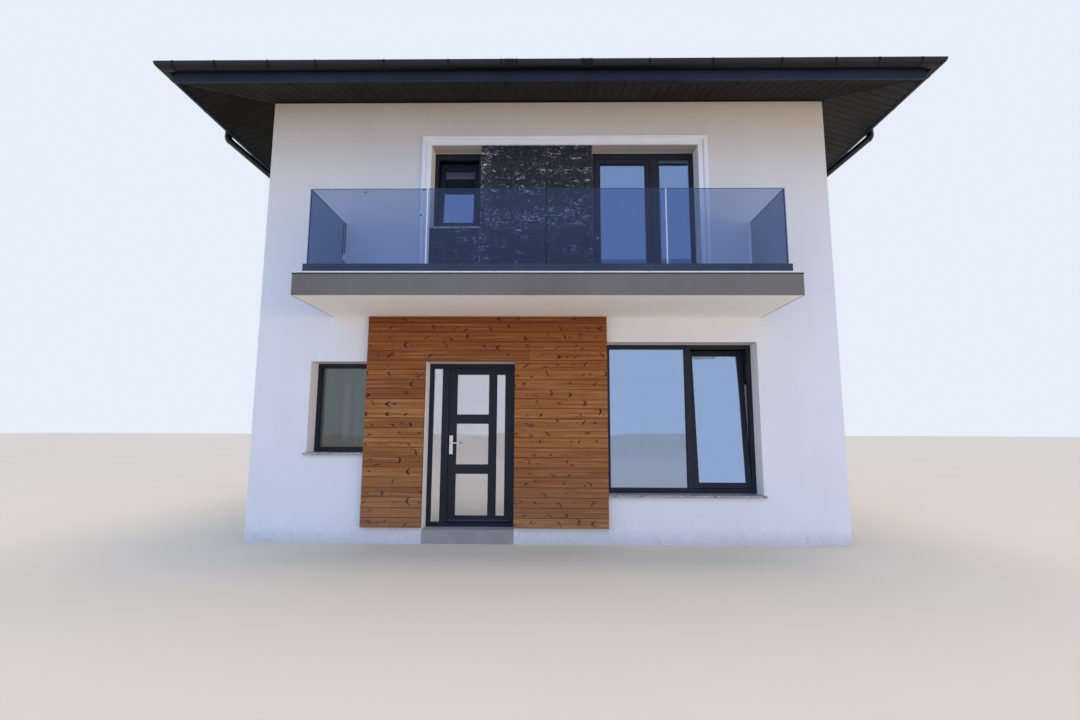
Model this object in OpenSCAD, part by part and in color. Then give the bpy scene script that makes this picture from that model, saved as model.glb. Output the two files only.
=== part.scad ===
// Detached two-storey house with a clad entrance, a glass-railed balcony and a low hip roof.
// Origin: centre of the footprint at the lowest ground level. The front faces -Y, up is +Z.

/* [House] */
// Width of the house across the front
house_w = 7670; // [7400:10:8600]
// Depth of the house from front to back
house_d = 9400; // [8600:10:11000]
// Thickness of the outer walls
wall_t = 380; // [330:5:420]
// Height of the ground floor above the lowest ground
ground_floor_z = 203; // [160:1:300]
// Clear height of the ground storey
clear_h = 2711; // [2650:1:2900]
// Thickness of the upper floor with its finish
upper_slab_t = 275; // [240:1:320]
// Height of the upper floor below the soffit line
upper_h = 2812; // [2720:1:3000]
// Thickness of the ceiling under the attic
ceiling_t = 150; // [100:5:200]
// Depth of the ceiling's top below the soffit line
ceiling_drop = 100; // [60:5:160]

/* [Roof] */
// Pitch of all four slopes in degrees
pitch = 17; // [14:0.5:22]
// Overhang of the eaves, wall face to fascia face
overhang = 839; // [600:1:950]
// Thickness of the rafters and deck, measured upright
roof_t = 190; // [160:5:240]
// Length of one tile course, measured level
course_l = 350; // [300:5:400]
// Height of the step at the front of a tile course
course_h = 18; // [10:1:25]
// Thickness of the soffit boards
soffit_t = 18; // [12:1:25]
// Thickness of the fascia board
fascia_t = 24; // [18:1:30]
// How far the fascia hangs below the soffit
fascia_drop = 10; // [4:1:20]
// Radius of the hip and ridge caps
cap_r = 85; // [70:1:100]

/* [Gutters] */
// Outer radius of the half-round gutters
gutter_r = 82; // [65:1:90]
// Thickness of the gutter sheet
gutter_t = 4; // [3:0.5:6]
// Depth of the gutter rim below the soffit line
gutter_rim_drop = 96; // [80:1:130]
// Radius of the downpipes
pipe_r = 45; // [35:1:50]
// Distance of a downpipe from the nearer end wall's face
pipe_in = 450; // [350:5:700]
// Gap between a downpipe and the wall
pipe_off = 30; // [20:1:60]
// Drop from the gutter to the upper bend of a downpipe
pipe_neck = 60; // [50:5:120]
// Radius of a downpipe's bends
bend_r = 110; // [90:5:150]
// Extra radius of a downpipe's sockets and clamps
socket_t = 4; // [2:0.5:6]
// Slope of a downpipe's swan neck in degrees
pipe_slope = 40; // [30:1:50]
// Height of a downpipe's lower end above the ground
pipe_end = 120; // [60:5:250]
// Distance of the lowest clamp from the downpipe's end
clamp_in = 300; // [200:10:500]
// Distance of the top clamp from the lower bend
clamp_top = 100; // [60:5:200]
// Length of a downpipe's clamp
clamp_l = 30; // [20:1:40]
// Width of a clamp's arm to the wall
clamp_arm = 24; // [16:1:30]
// How far the downpipe's straight lengths reach into its bends
socket_in = 10; // [6:1:20]

/* [Entrance] */
// Left edge of the door opening, from the centre line
door_x0 = -1580; // [-1650:1:-1500]
// Width of the door opening
door_w = 1175; // [1140:1:1250]
// Height of the door opening above the floor
door_h = 2117; // [2050:1:2250]
// Depth of the doorstep below the floor
doorstep = 31; // [10:1:60]
// Distance of all frames behind the wall face
reveal = 222; // [190:1:230]
// Depth of the door frame and window frames
frame_d = 70; // [60:1:80]
// Width of the door frame's jambs
jamb_w = 54; // [50:1:65]
// Width of the sidelight's glass
sidelight_w = 130; // [100:1:150]
// Width of the post between the sidelight and the door
post_w = 85; // [75:1:95]
// Height of the door frame's head
head_w = 63; // [55:1:75]
// Height of the threshold
threshold_h = 20; // [15:1:25]
// Depth of the stop that the leaf closes against
stop_d = 18; // [12:1:24]
// Overlap of the stop over the leaf's edge
stop_lap = 6; // [4:1:8]
// Gap round the leaf
leaf_gap = 8; // [7:1:10]
// Gap between the leaf's face and the stop
face_gap = 5; // [5:0.5:7]
// Thickness of the leaf
leaf_t = 60; // [50:1:64]
// Width of the leaf's stile at the lock
lock_stile = 108; // [100:1:115]
// Width of the leaf's stile at the hinges
hinge_stile = 92; // [80:1:100]
// Width of the stile between the two columns of lights
mid_stile = 93; // [80:1:110]
// Width of the narrow column of glass
narrow_light = 127; // [100:1:140]
// Height of the leaf's bottom rail
bottom_rail = 70; // [60:1:100]
// Height of the leaf's top rail
top_rail = 83; // [70:1:100]
// Height of the rails between the three lights
mid_rail = 107; // [90:1:120]
// Thickness of the panes in the leaf and all windows
pane_t = 24; // [18:1:30]

/* [Door furniture] */
// Height of the lever above the floor
lever_z = 1051; // [950:1:1100]
// Distance of the lever's axis from the leaf's edge
lever_in = 48; // [42:1:55]
// Length of the lever from its axis
lever_l = 127; // [105:1:135]
// Radius of the lever's arm
lever_r = 9; // [7:0.5:10]
// Distance of the lever's arm from the plate
lever_out = 45; // [36:1:50]
// Width of the handle plate
plate_w = 46; // [36:1:48]
// Height of the handle plate
plate_h = 246; // [220:1:260]
// Height of the handle plate's top above the lever
plate_up = 98; // [80:1:120]
// Thickness of the handle plate
plate_t = 8; // [6:0.5:10]
// Radius of the hinge barrels
barrel_r = 9; // [8:0.5:11]
// Radius of the hinge pins
pin_r = 5; // [4:0.5:6]
// Length of one hinge barrel
barrel_l = 45; // [35:1:60]
// Reach of the frame's hinge bracket beyond its barrel
bracket_l = 26; // [20:1:32]
// Depth of the frame's hinge bracket past the pin
bracket_past = 4; // [2:0.5:6]
// Reach of the leaf's hinge flap over the leaf
flap_l = 37; // [30:1:45]
// Thickness of the leaf's hinge flap
flap_t = 6; // [4:0.5:7]
// Distance of a hinge pin's tip below the top of its knuckle
pin_short = 4; // [3:0.5:8]
// Number of hinges
hinge_count = 3; // [2:1:4]
// Distance of the end hinges from the leaf's ends
hinge_in = 250; // [180:5:320]
// Running gap round a pin or neck
pin_gap = 0.05; // [0.02:0.01:0.1]

/* [Front windows] */
// Left edge of the kitchen window, from the centre line
kitchen_x0 = -3106; // [-3200:1:-3050]
// Width of the kitchen window
kitchen_w = 761; // [700:1:800]
// Sill height of the kitchen window above the floor
kitchen_sill = 928; // [850:1:1000]
// Height of the kitchen window
kitchen_h = 1187; // [1100:1:1250]
// Left edge of the living room window, from the centre line
living_x0 = 793; // [760:1:850]
// Width of the living room window
living_w = 1975; // [1800:1:2100]
// Sill height of the living room window above the floor
living_sill = 412; // [350:1:500]
// Height of the living room window
living_h = 1971; // [1850:1:2050]
// Width of a window frame's members
frame_w = 58; // [50:1:70]
// Width of a sash's members
sash_w = 65; // [55:1:70]
// Depth of a sash
sash_d = 60; // [50:1:66]
// Distance of a sash behind the front of its frame
sash_in = 6; // [4:1:8]
// Gap between a sash and its frame
sash_gap = 3; // [2:0.5:4]
// Width of the living room window's post
living_post = 75; // [65:1:90]
// Width of the living room window's fixed pane
living_fixed = 1020; // [900:1:1060]
// Tilt of the living room's open sash in degrees
sash_tilt = 5; // [0:0.5:6]
// Tilt of the small upper window's open sash in degrees
upper_tilt = 7.5; // [0:0.5:8]
// Thickness of the granite sills
sill_t = 30; // [20:1:40]
// Projection of the sills from the wall face
sill_out = 40; // [30:1:60]
// Length of a sill's end past its opening
sill_horn = 30; // [20:1:40]

/* [Upper front] */
// Left edge of the recessed group, from the centre line
group_x0 = -1594; // [-1650:1:-1550]
// Height of the recessed group above the upper floor
group_h = 2160; // [2100:1:2250]
// Width of the upper window
upper_win_w = 690; // [650:1:750]
// Sill height of the upper window above the upper floor
upper_sill = 976; // [900:1:1050]
// Width of the stone pier
pier_w = 1533; // [1400:1:1600]
// Width of the balcony door
balcony_door_w = 1456; // [1400:1:1550]
// Extra height of the top and bottom members upstairs
tall_rail = 28; // [0:1:40]
// Width of the balcony door's post
balcony_post = 127; // [80:1:140]
// Width of the balcony door's fixed pane
balcony_fixed = 433; // [380:1:480]
// Thickness of the stone slabs
stone_t = 30; // [20:1:40]
// Width of the surround's inner band
surround_in_w = 75; // [60:1:90]
// Width of the surround's outer band
surround_out_w = 54; // [40:1:70]
// Projection of the surround's inner band
surround_in_t = 20; // [15:1:25]
// Projection of the surround's outer band
surround_out_t = 35; // [30:1:45]

/* [Cladding] */
// Projection of the wood cladding from the wall face
cladding_t = 65; // [50:1:75]

/* [Balcony] */
// Width of the balcony
balcony_w = 5690; // [5400:10:6000]
// Projection of the balcony
balcony_out = 1200; // [1100:10:1300]
// Thickness of the render band on the balcony's edge
edge_t = 12; // [8:1:20]
// Thickness of the balcony's tiles
tile_t = 22; // [15:1:30]
// Setback of the tiles from the edge
tile_in = 4; // [2:1:8]
// Height of the drip edge
drip_h = 10; // [6:1:16]
// Projection of the drip edge
drip_out = 6; // [3:1:10]
// Setback of the railing channel from the front edge
channel_in = 105; // [80:1:140]
// Setback of the railing channel from the side edges
channel_side_in = 62; // [50:1:90]
// Width of the railing channel
channel_w = 66; // [60:1:75]
// Height of the railing channel
channel_h = 118; // [100:1:130]
// Thickness of the channel's base
channel_base = 18; // [12:1:24]
// Thickness of the railing glass
rail_glass_t = 16; // [12:1:21]
// Height of the railing above the balcony's tiles
rail_h = 1028; // [950:1:1100]
// Number of front glass panels
rail_panels = 4; // [3:1:5]
// Gap between glass panels
rail_gap = 8; // [5:1:12]
// Gap between the glass and the channel's cheeks
rail_fit = 0.5; // [0.2:0.1:1]

/* [Side and back windows] */
// Width of the small windows
small_w = 760; // [700:10:900]
// Distance of the side windows from the house's middle
side_win_x = 2200; // [1800:10:2600]
// Distance of the back windows from the house's middle
back_win_x = 1900; // [1700:10:2100]

/* [Hidden] */
$fn = 48;

// Levels
ground_ceiling_z = ground_floor_z + clear_h;
upper_floor_z = ground_ceiling_z + upper_slab_t;
soffit_z = upper_floor_z + upper_h;
ceiling_top_z = soffit_z - ceiling_drop;
balcony_top_z = upper_floor_z - tile_t;

// Plan
half_w = house_w / 2;
half_d = house_d / 2;
eaves = overhang - fascia_t;

// Roof
soffit_v = soffit_t / cos(pitch);
deck_z = soffit_z + soffit_v;
tile_z = deck_z + roof_t;
fascia_z0 = soffit_z - overhang * tan(pitch) - fascia_drop;
fascia_z1 = tile_z - overhang * tan(pitch);
gutter_z = soffit_z - gutter_rim_drop;
over = 10;
bed_gap = 0.5;

// Openings in the front, as [left, right, bottom, top]
doorstep_z = ground_floor_z - doorstep;
door_hole = [door_x0, door_x0 + door_w, doorstep_z, ground_floor_z + door_h];
kitchen_z = ground_floor_z + kitchen_sill;
kitchen_hole = [kitchen_x0, kitchen_x0 + kitchen_w, kitchen_z, kitchen_z + kitchen_h];
living_z = ground_floor_z + living_sill;
living_hole = [living_x0, living_x0 + living_w, living_z, living_z + living_h];
group_top = upper_floor_z + group_h;
pier_x0 = group_x0 + upper_win_w;
pier_x1 = pier_x0 + pier_w;
upper_z = upper_floor_z + upper_sill;
upper_hole = [group_x0, pier_x0, upper_z, group_top];
balcony_hole = [pier_x1, pier_x1 + balcony_door_w, upper_floor_z, group_top];

// Openings in the side and back walls, in each wall's own left-to-right direction
function small_hole(x, z, h) = [x - small_w / 2, x + small_w / 2, z, z + h];
upper_h_win = group_top - upper_z;
side_holes = [for (x = [-side_win_x, side_win_x]) each
    [small_hole(x, kitchen_z, kitchen_h), small_hole(x, upper_z, upper_h_win)]];
back_large = [-back_win_x - living_w / 2, -back_win_x + living_w / 2, living_z, living_z + living_h];
back_small = [
    small_hole(back_win_x, kitchen_z, kitchen_h),
    small_hole(-back_win_x, upper_z, upper_h_win),
    small_hole(back_win_x, upper_z, upper_h_win)
];
back_post_x = back_large[0] + frame_w + living_fixed;

// Entrance door
post_x0 = door_hole[0] + jamb_w + sidelight_w;
clear_x0 = post_x0 + post_w;
clear_x1 = door_hole[1] - jamb_w;
clear_z0 = ground_floor_z + threshold_h;
clear_z1 = door_hole[3] - head_w;
leaf_x0 = clear_x0 - stop_lap;
leaf_x1 = clear_x1 + stop_lap;
leaf_z0 = clear_z0 + leaf_gap;
leaf_z1 = clear_z1 + stop_lap;
leaf_y0 = reveal + stop_d + face_gap;
leaf_y1 = leaf_y0 + leaf_t;
light_x0 = leaf_x0 + lock_stile;
light_x3 = leaf_x1 - hinge_stile;
light_x2 = light_x3 - narrow_light;
light_x1 = light_x2 - mid_stile;
light_z0 = leaf_z0 + bottom_rail;
light_z1 = leaf_z1 - top_rail;
light_h = (light_z1 - light_z0 - 2 * mid_rail) / 3;
hinge_x = leaf_x1 + leaf_gap / 2;
barrel_gap = 1;
hinge_y = leaf_y1 + barrel_r + barrel_gap;
hinge_step = (leaf_z1 - leaf_z0 - 2 * hinge_in) / (hinge_count - 1);
knuckle_gap = 1;
seat = 1; // depth that joined hinge pieces run into each other
lever_x = leaf_x0 + lever_in;
lever_axis_z = ground_floor_z + lever_z;
spindle_r = 6;
neck_r = lever_r;

// Railing
channel_y1 = balcony_out - channel_in;
channel_x1 = balcony_w / 2 - channel_side_in;
glass_y1 = channel_y1 - (channel_w - rail_glass_t) / 2;
glass_x1 = channel_x1 - (channel_w - rail_glass_t) / 2;
mitre = 1;

// Places a piece drawn on the front wall: x to the right, y into the house
module on_front() {
    translate([0, -half_d, 0]) children();
}

module on_back() {
    rotate([0, 0, 180]) translate([0, -half_d, 0]) children();
}

module on_left() {
    rotate([0, 0, -90]) translate([0, -half_w, 0]) children();
}

module on_right() {
    rotate([0, 0, 90]) translate([0, -half_w, 0]) children();
}

module block(x0, x1, y0, y1, z0, z1) {
    translate([x0, y0, z0]) cube([x1 - x0, y1 - y0, z1 - z0]);
}

// A hole through a wall, down to the underside of its sill
module hole(h, sill = sill_t, y0 = -over, y1 = wall_t + over) {
    block(h[0], h[1], y0, y1, h[2] - sill, h[3]);
}

// A rectangular ring standing in the plane of a wall
module ring(h, w, y0, d, top = 0, bottom = 0) {
    difference() {
        block(h[0], h[1], y0, y0 + d, h[2], h[3]);
        block(h[0] + w, h[1] - w, y0 - over, y0 + d + over, h[2] + w + bottom, h[3] - w - top);
    }
}

// The room left inside a ring
function inside(h, w, top = 0, bottom = 0) = [h[0] + w, h[1] - w, h[2] + w + bottom, h[3] - w - top];

function shrink(h, g) = [h[0] + g, h[1] - g, h[2], h[3] - g];

module pane(h, y0 = reveal + (frame_d - pane_t) / 2) {
    block(h[0], h[1], y0, y0 + pane_t, h[2], h[3]);
}

// Outline of two opposite slopes: flat from the eaves inwards at the given height over the wall face
function slope_outline(half, reach, z) = [
    [-half - reach, -over], [half + reach, -over],
    [half + reach, z - reach * tan(pitch)], [0, z + half * tan(pitch)],
    [-half - reach, z - reach * tan(pitch)]
];

// The space under a hip roof whose slopes pass the given height at the wall face
module under_slopes(z, reach = overhang + over) {
    intersection() {
        rotate([90, 0, 0]) linear_extrude(height = 2 * (half_d + reach), center = true)
            polygon(slope_outline(half_w, reach, z));
        rotate([90, 0, 90]) linear_extrude(height = 2 * (half_w + reach), center = true)
            polygon(slope_outline(half_d, reach, z));
    }
}

// Profile of one slope across its wall, y from the wall face into the house: flat underneath, stepped on top
function slope_profile() =
    let (
        n = ceil((half_w + eaves) / course_l),
        y1 = n * course_l - eaves,
        top_z = tile_z - eaves * tan(pitch)
    )
    concat(
        [[y1, deck_z + y1 * tan(pitch)], [-eaves, deck_z - eaves * tan(pitch)]],
        [for (i = [0 : n - 1], s = [0, 1])
            [(i + s) * course_l - eaves, top_z + (i + s) * course_l * tan(pitch) + course_h * (1 - s)]]
    );

// Plan of one slope, from its eaves to the ridge, for a wall of the given half length
module slope_plan(along) {
    ridge_half = along - half_w;
    linear_extrude(height = 2 * soffit_z)
        polygon(concat(
            [[-along - eaves, -eaves], [along + eaves, -eaves]],
            ridge_half > 0 ? [[ridge_half, half_w], [-ridge_half, half_w]] : [[0, half_w]]
        ));
}

module roof_slope(along) {
    color("dimgray")
        intersection() {
            rotate([90, 0, 90]) linear_extrude(height = 2 * (along + overhang), center = true)
                polygon(slope_profile());
            slope_plan(along);
        }
}

module roof_front() { on_front() roof_slope(half_w); }

module roof_back() { on_back() roof_slope(half_w); }

module roof_left() { on_left() roof_slope(half_d); }

module roof_right() { on_right() roof_slope(half_d); }

// Half-round caps along the four hips and the ridge, resting on the noses of the tile courses
module roof_caps() {
    run = half_w + eaves;
    ridge_half = half_d - half_w;
    nose_z = tile_z + course_h;
    ridge_z = nose_z + half_w * tan(pitch);
    rise = run * tan(pitch);
    hip_l = sqrt(2 * run * run + rise * rise);
    hip_tilt = atan(rise / (sqrt(2) * run));
    color("dimgray")
        difference() {
            union() {
                translate([0, 0, ridge_z]) rotate([90, 0, 0])
                    cylinder(h = 2 * ridge_half, r = cap_r, center = true);
                for (x = [-1, 1], y = [-1, 1])
                    translate([0, y * ridge_half, ridge_z]) rotate([0, 0, atan2(y, x)])
                        rotate([0, 90 + hip_tilt, 0]) cylinder(h = hip_l - cap_r, r = cap_r);
                for (y = [-1, 1]) translate([0, y * ridge_half, ridge_z]) sphere(r = cap_r + 6);
            }
            under_slopes(nose_z);
        }
}

// Beam on top of one wall, its top face under the slope and its ends mitred
module beam(half) {
    intersection() {
        rotate([90, 0, 90]) linear_extrude(height = 2 * half, center = true)
            polygon([
                [0, ceiling_top_z], [wall_t, ceiling_top_z],
                [wall_t, deck_z + wall_t * tan(pitch) - bed_gap], [0, deck_z - bed_gap]
            ]);
        linear_extrude(height = 2 * soffit_z)
            polygon([
                [-half + mitre, -over], [-half + mitre, 0], [-half + wall_t + mitre, wall_t],
                [half - wall_t - mitre, wall_t], [half - mitre, 0], [half - mitre, -over]
            ]);
    }
}

module ring_beam() {
    color("white") {
        on_front() beam(half_w);
        on_back() beam(half_w);
        on_left() beam(half_d);
        on_right() beam(half_d);
    }
}

module ground_floor_slab() {
    color("lightgray")
        union() {
            block(-half_w + wall_t, half_w - wall_t, -half_d + wall_t, half_d - wall_t, 0, ground_floor_z);
            on_front() block(door_hole[0], door_hole[1], 0, wall_t, 0, doorstep_z);
            on_front() block(door_hole[0], door_hole[1], reveal + frame_d, wall_t, 0, ground_floor_z);
        }
}

module upper_floor_slab() {
    color("lightgray")
        block(-half_w + wall_t, half_w - wall_t, -half_d + wall_t, half_d - wall_t,
            ground_ceiling_z, upper_floor_z);
}

module ceiling_slab() {
    color("lightgray")
        block(-half_w + wall_t, half_w - wall_t, -half_d + wall_t, half_d - wall_t,
            ceiling_top_z - ceiling_t, ceiling_top_z);
}

module front_wall_left() {
    color("white") on_front()
        difference() {
            block(-half_w, door_hole[0], 0, wall_t, 0, ground_ceiling_z);
            hole(kitchen_hole);
        }
}

module front_wall_right() {
    color("white") on_front()
        difference() {
            block(door_hole[1], half_w, 0, wall_t, 0, ground_ceiling_z);
            hole(living_hole);
        }
}

module front_wall_over_door() {
    color("white") on_front()
        block(door_hole[0], door_hole[1], 0, wall_t, door_hole[3], ground_ceiling_z);
}

module stone_outline() {
    difference() {
        block(group_x0, pier_x1, 0, stone_t, upper_floor_z, group_top);
        hole(upper_hole);
    }
}

module front_wall_upper() {
    color("white")
        on_front()
            difference() {
                block(-half_w, half_w, 0, wall_t, ground_ceiling_z, ceiling_top_z);
                hole(upper_hole);
                hole(balcony_hole, 0);
                stone_outline();
            }
}

module back_wall() {
    color("white")
        on_back()
            difference() {
                block(-half_w, half_w, 0, wall_t, 0, ceiling_top_z);
                hole(back_large);
                for (h = back_small) hole(h);
            }
}

module side_wall() {
    difference() {
        block(-half_d + wall_t, half_d - wall_t, 0, wall_t, 0, ceiling_top_z);
        for (h = side_holes) hole(h);
    }
}

module left_wall() {
    color("white") on_left() side_wall();
}

module right_wall() {
    color("white") on_right() side_wall();
}

module wood_cladding_left() {
    color("peru") on_front()
        block(kitchen_hole[1], door_hole[0], -cladding_t, 0, ground_floor_z, ground_ceiling_z);
}

module wood_cladding_right() {
    color("peru") on_front()
        block(door_hole[1], living_hole[0], -cladding_t, 0, ground_floor_z, ground_ceiling_z);
}

module wood_cladding_over_door() {
    color("peru") on_front()
        block(door_hole[0], door_hole[1], -cladding_t, 0, door_hole[3], ground_ceiling_z);
}

module stone_cladding() {
    color("#222226") on_front() stone_outline();
}

// Stepped moulding at the sides and top of the recessed group
module window_surround() {
    module band(w0, w1, t) {
        difference() {
            block(group_x0 - w1, balcony_hole[1] + w1, -t, 0, upper_floor_z, group_top + w1);
            block(group_x0 - w0, balcony_hole[1] + w0, -t - over, over, upper_floor_z - over, group_top + w0);
        }
    }
    color("white") on_front()
        union() {
            band(0, surround_in_w, surround_in_t);
            band(surround_in_w, surround_in_w + surround_out_w, surround_out_t);
        }
}

module balcony_slab() {
    color("seashell") on_front()
        block(-balcony_w / 2 + edge_t, balcony_w / 2 - edge_t, -balcony_out + edge_t, 0,
            ground_ceiling_z, balcony_top_z);
}

module balcony_edge_band() {
    color("gray") on_front()
        difference() {
            block(-balcony_w / 2, balcony_w / 2, -balcony_out, 0, ground_ceiling_z, balcony_top_z);
            block(-balcony_w / 2 + edge_t, balcony_w / 2 - edge_t, -balcony_out + edge_t, over,
                ground_ceiling_z - over, balcony_top_z + over);
        }
}

module balcony_drip_edge() {
    color("#2b2d31") on_front()
        difference() {
            block(-balcony_w / 2 - drip_out, balcony_w / 2 + drip_out, -balcony_out - drip_out, 0,
                balcony_top_z - drip_h, balcony_top_z);
            block(-balcony_w / 2, balcony_w / 2, -balcony_out, over,
                balcony_top_z - drip_h - over, balcony_top_z + over);
        }
}

module balcony_floor() {
    color("gainsboro") on_front()
        block(-balcony_w / 2 + tile_in, balcony_w / 2 - tile_in, -balcony_out + tile_in, 0,
            balcony_top_z, upper_floor_z);
}

// One straight length of channel with its glass slot, its outer face at y = 0
module channel_bar(l, cut0, cut1) {
    slot = rail_glass_t + 2 * rail_fit;
    slot_y = (channel_w - slot) / 2;
    difference() {
        block(0, l, 0, channel_w, upper_floor_z, upper_floor_z + channel_h);
        block(-over, l + over, slot_y, slot_y + slot, upper_floor_z + channel_base, upper_floor_z + channel_h + over);
        if (cut0) translate([mitre, 0, 0]) rotate([0, 0, -45])
            block(-2 * channel_w, 0, -channel_w, 3 * channel_w, 0, 2 * upper_floor_z);
        if (cut1) translate([l - mitre, 0, 0]) rotate([0, 0, 45])
            block(0, 2 * channel_w, -channel_w, 3 * channel_w, 0, 2 * upper_floor_z);
    }
}

module railing_channel() {
    color("#2b2d31") on_front() {
        translate([-channel_x1, -channel_y1, 0]) channel_bar(2 * channel_x1, true, true);
        translate([-channel_x1, 0, 0]) rotate([0, 0, -90]) channel_bar(channel_y1, false, true);
        translate([channel_x1, -channel_y1, 0]) rotate([0, 0, 90]) channel_bar(channel_y1, true, false);
    }
}

module railing_glass() {
    panel_l = (2 * glass_x1 - (rail_panels - 1) * rail_gap) / rail_panels;
    z0 = upper_floor_z + channel_base;
    z1 = upper_floor_z + rail_h;
    color("steelblue", 0.4) on_front() {
        for (i = [0 : rail_panels - 1])
            translate([-glass_x1 + i * (panel_l + rail_gap), 0, 0])
                block(0, panel_l, -glass_y1, -glass_y1 + rail_glass_t, z0, z1);
        for (s = [0, 1]) mirror([s, 0, 0])
            block(glass_x1 - rail_glass_t, glass_x1, -glass_y1 + rail_glass_t + rail_gap, -rail_gap, z0, z1);
    }
}

function hinge_z(i) = leaf_z0 + hinge_in + i * hinge_step;

// Frame knuckle: bracket on the jamb, barrel and the pin that stands out of it
module frame_hinge() {
    difference() {
        block(leaf_x1 + leaf_gap - seat, hinge_x + barrel_r + bracket_l, reveal + frame_d, hinge_y + bracket_past,
            0, barrel_l);
        translate([hinge_x, hinge_y, -over]) cylinder(h = barrel_l + 2 * over, r = barrel_r - seat);
    }
    translate([hinge_x, hinge_y, 0]) cylinder(h = barrel_l, r = barrel_r);
    translate([hinge_x, hinge_y, 0]) cylinder(h = 2 * barrel_l - pin_short, r = pin_r);
}

module door_frame() {
    y0 = reveal;
    y1 = reveal + frame_d;
    color("#24272c") on_front()
        union() {
            difference() {
                block(door_hole[0], door_hole[1], y0, y1, door_hole[2], door_hole[3]);
                block(door_hole[0] + jamb_w, post_x0, y0 - over, y1 + over, clear_z0, clear_z1);
                block(clear_x0, clear_x1, y0 - over, y1 + over, clear_z0, clear_z1);
                block(leaf_x0 - leaf_gap, leaf_x1 + leaf_gap, y0 + stop_d, y1 + over, clear_z0, leaf_z1 + leaf_gap);
            }
            for (i = [0 : hinge_count - 1]) translate([0, 0, hinge_z(i)]) frame_hinge();
        }
}

// Leaf knuckle: flap on the leaf and a bored barrel that turns on the pin
module leaf_hinge() {
    z0 = barrel_l + knuckle_gap;
    z1 = 2 * barrel_l + knuckle_gap;
    difference() {
        union() {
            block(leaf_x1 - flap_l, hinge_x, leaf_y1, leaf_y1 + flap_t, z0, z1);
            translate([hinge_x, hinge_y, z0]) cylinder(h = z1 - z0, r = barrel_r);
        }
        translate([hinge_x, hinge_y, z0 - over]) cylinder(h = z1 - z0 + 2 * over, r = pin_r + pin_gap);
    }
}

module leaf_lights(y0, y1) {
    for (i = [0 : 2])
        translate([0, 0, i * (light_h + mid_rail)])
            block(light_x0, light_x1, y0, y1, light_z0, light_z0 + light_h);
    block(light_x2, light_x3, y0, y1, light_z0, light_z1);
}

module door_leaf() {
    color("#24272c") on_front()
        union() {
            difference() {
                block(leaf_x0, leaf_x1, leaf_y0, leaf_y1, leaf_z0, leaf_z1);
                leaf_lights(leaf_y0 - over, leaf_y1 + over);
                translate([lever_x, leaf_y0 - over, lever_axis_z]) rotate([-90, 0, 0])
                    cylinder(h = leaf_t + 2 * over, r = spindle_r + 6);
            }
            for (i = [0 : hinge_count - 1]) translate([0, 0, hinge_z(i)]) leaf_hinge();
        }
}

module door_glass() {
    y0 = leaf_y0 + (leaf_t - pane_t) / 2;
    color("lightblue", 0.5) on_front() leaf_lights(y0, y0 + pane_t);
}

module door_plates() {
    z0 = lever_axis_z + plate_up - plate_h;
    color("silver") on_front()
        for (y = [leaf_y0 - plate_t, leaf_y1])
            difference() {
                block(lever_x - plate_w / 2, lever_x + plate_w / 2, y, y + plate_t, z0, z0 + plate_h);
                translate([lever_x, y - over, lever_axis_z]) rotate([-90, 0, 0])
                    cylinder(h = plate_t + 2 * over, r = neck_r + pin_gap);
            }
}

module door_lever() {
    arm_y0 = leaf_y0 - plate_t - lever_out;
    arm_y1 = leaf_y1 + plate_t + lever_out;
    color("silver") on_front() translate([lever_x, 0, lever_axis_z])
        union() {
            translate([0, leaf_y0 - plate_t, 0]) rotate([-90, 0, 0])
                cylinder(h = leaf_t + 2 * plate_t, r = spindle_r);
            translate([0, arm_y0, 0]) rotate([-90, 0, 0]) cylinder(h = lever_out + plate_t, r = neck_r);
            translate([0, leaf_y1, 0]) rotate([-90, 0, 0]) cylinder(h = lever_out + plate_t, r = neck_r);
            for (y = [arm_y0, arm_y1]) translate([0, y, 0]) {
                sphere(r = lever_r);
                rotate([0, 90, 0]) cylinder(h = lever_l - lever_r, r = lever_r);
                translate([lever_l - lever_r, 0, 0]) sphere(r = lever_r);
            }
        }
}

living_post_x = living_hole[0] + frame_w + living_fixed;

module large_frame(h, post_x) {
    ring(h, frame_w, reveal, frame_d);
    block(post_x, post_x + living_post, reveal, reveal + frame_d, h[2] + frame_w, h[3] - frame_w);
}

module ground_window_frames() {
    color("#24272c") on_front() {
        ring(kitchen_hole, frame_w, reveal, frame_d);
        union() large_frame(living_hole, living_post_x);
    }
}

balcony_post_x = balcony_hole[1] - frame_w - balcony_fixed - balcony_post;
upper_in = inside(upper_hole, frame_w, tall_rail, tall_rail);
balcony_in = inside(balcony_hole, frame_w, tall_rail, tall_rail);

module upper_window_frames() {
    color("#24272c") on_front() {
        ring(upper_hole, frame_w, reveal, frame_d, tall_rail, tall_rail);
        union() {
            ring(balcony_hole, frame_w, reveal, frame_d, tall_rail, tall_rail);
            block(balcony_post_x, balcony_post_x + balcony_post, reveal, reveal + frame_d,
                balcony_in[2], balcony_in[3]);
        }
    }
}

// Rooms that the three sashes close
living_in = [living_post_x + living_post, living_hole[1] - frame_w, living_hole[2] + frame_w,
    living_hole[3] - frame_w];
living_sash = shrink(living_in, sash_gap);
upper_sash = shrink(upper_in, sash_gap);
balcony_sash = shrink([balcony_in[0], balcony_post_x, balcony_in[2], balcony_in[3]], sash_gap);
sash_y0 = reveal + sash_in;
sash_pane_y = sash_y0 + (sash_d - pane_t) / 2;

// Leans a piece into the room about the inner bottom edge of its sash
module tilted(sash, tilt) {
    translate([0, sash_y0 + sash_d, sash[2]]) rotate([-tilt, 0, 0])
        translate([0, -sash_y0 - sash_d, -sash[2]]) children();
}

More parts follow.
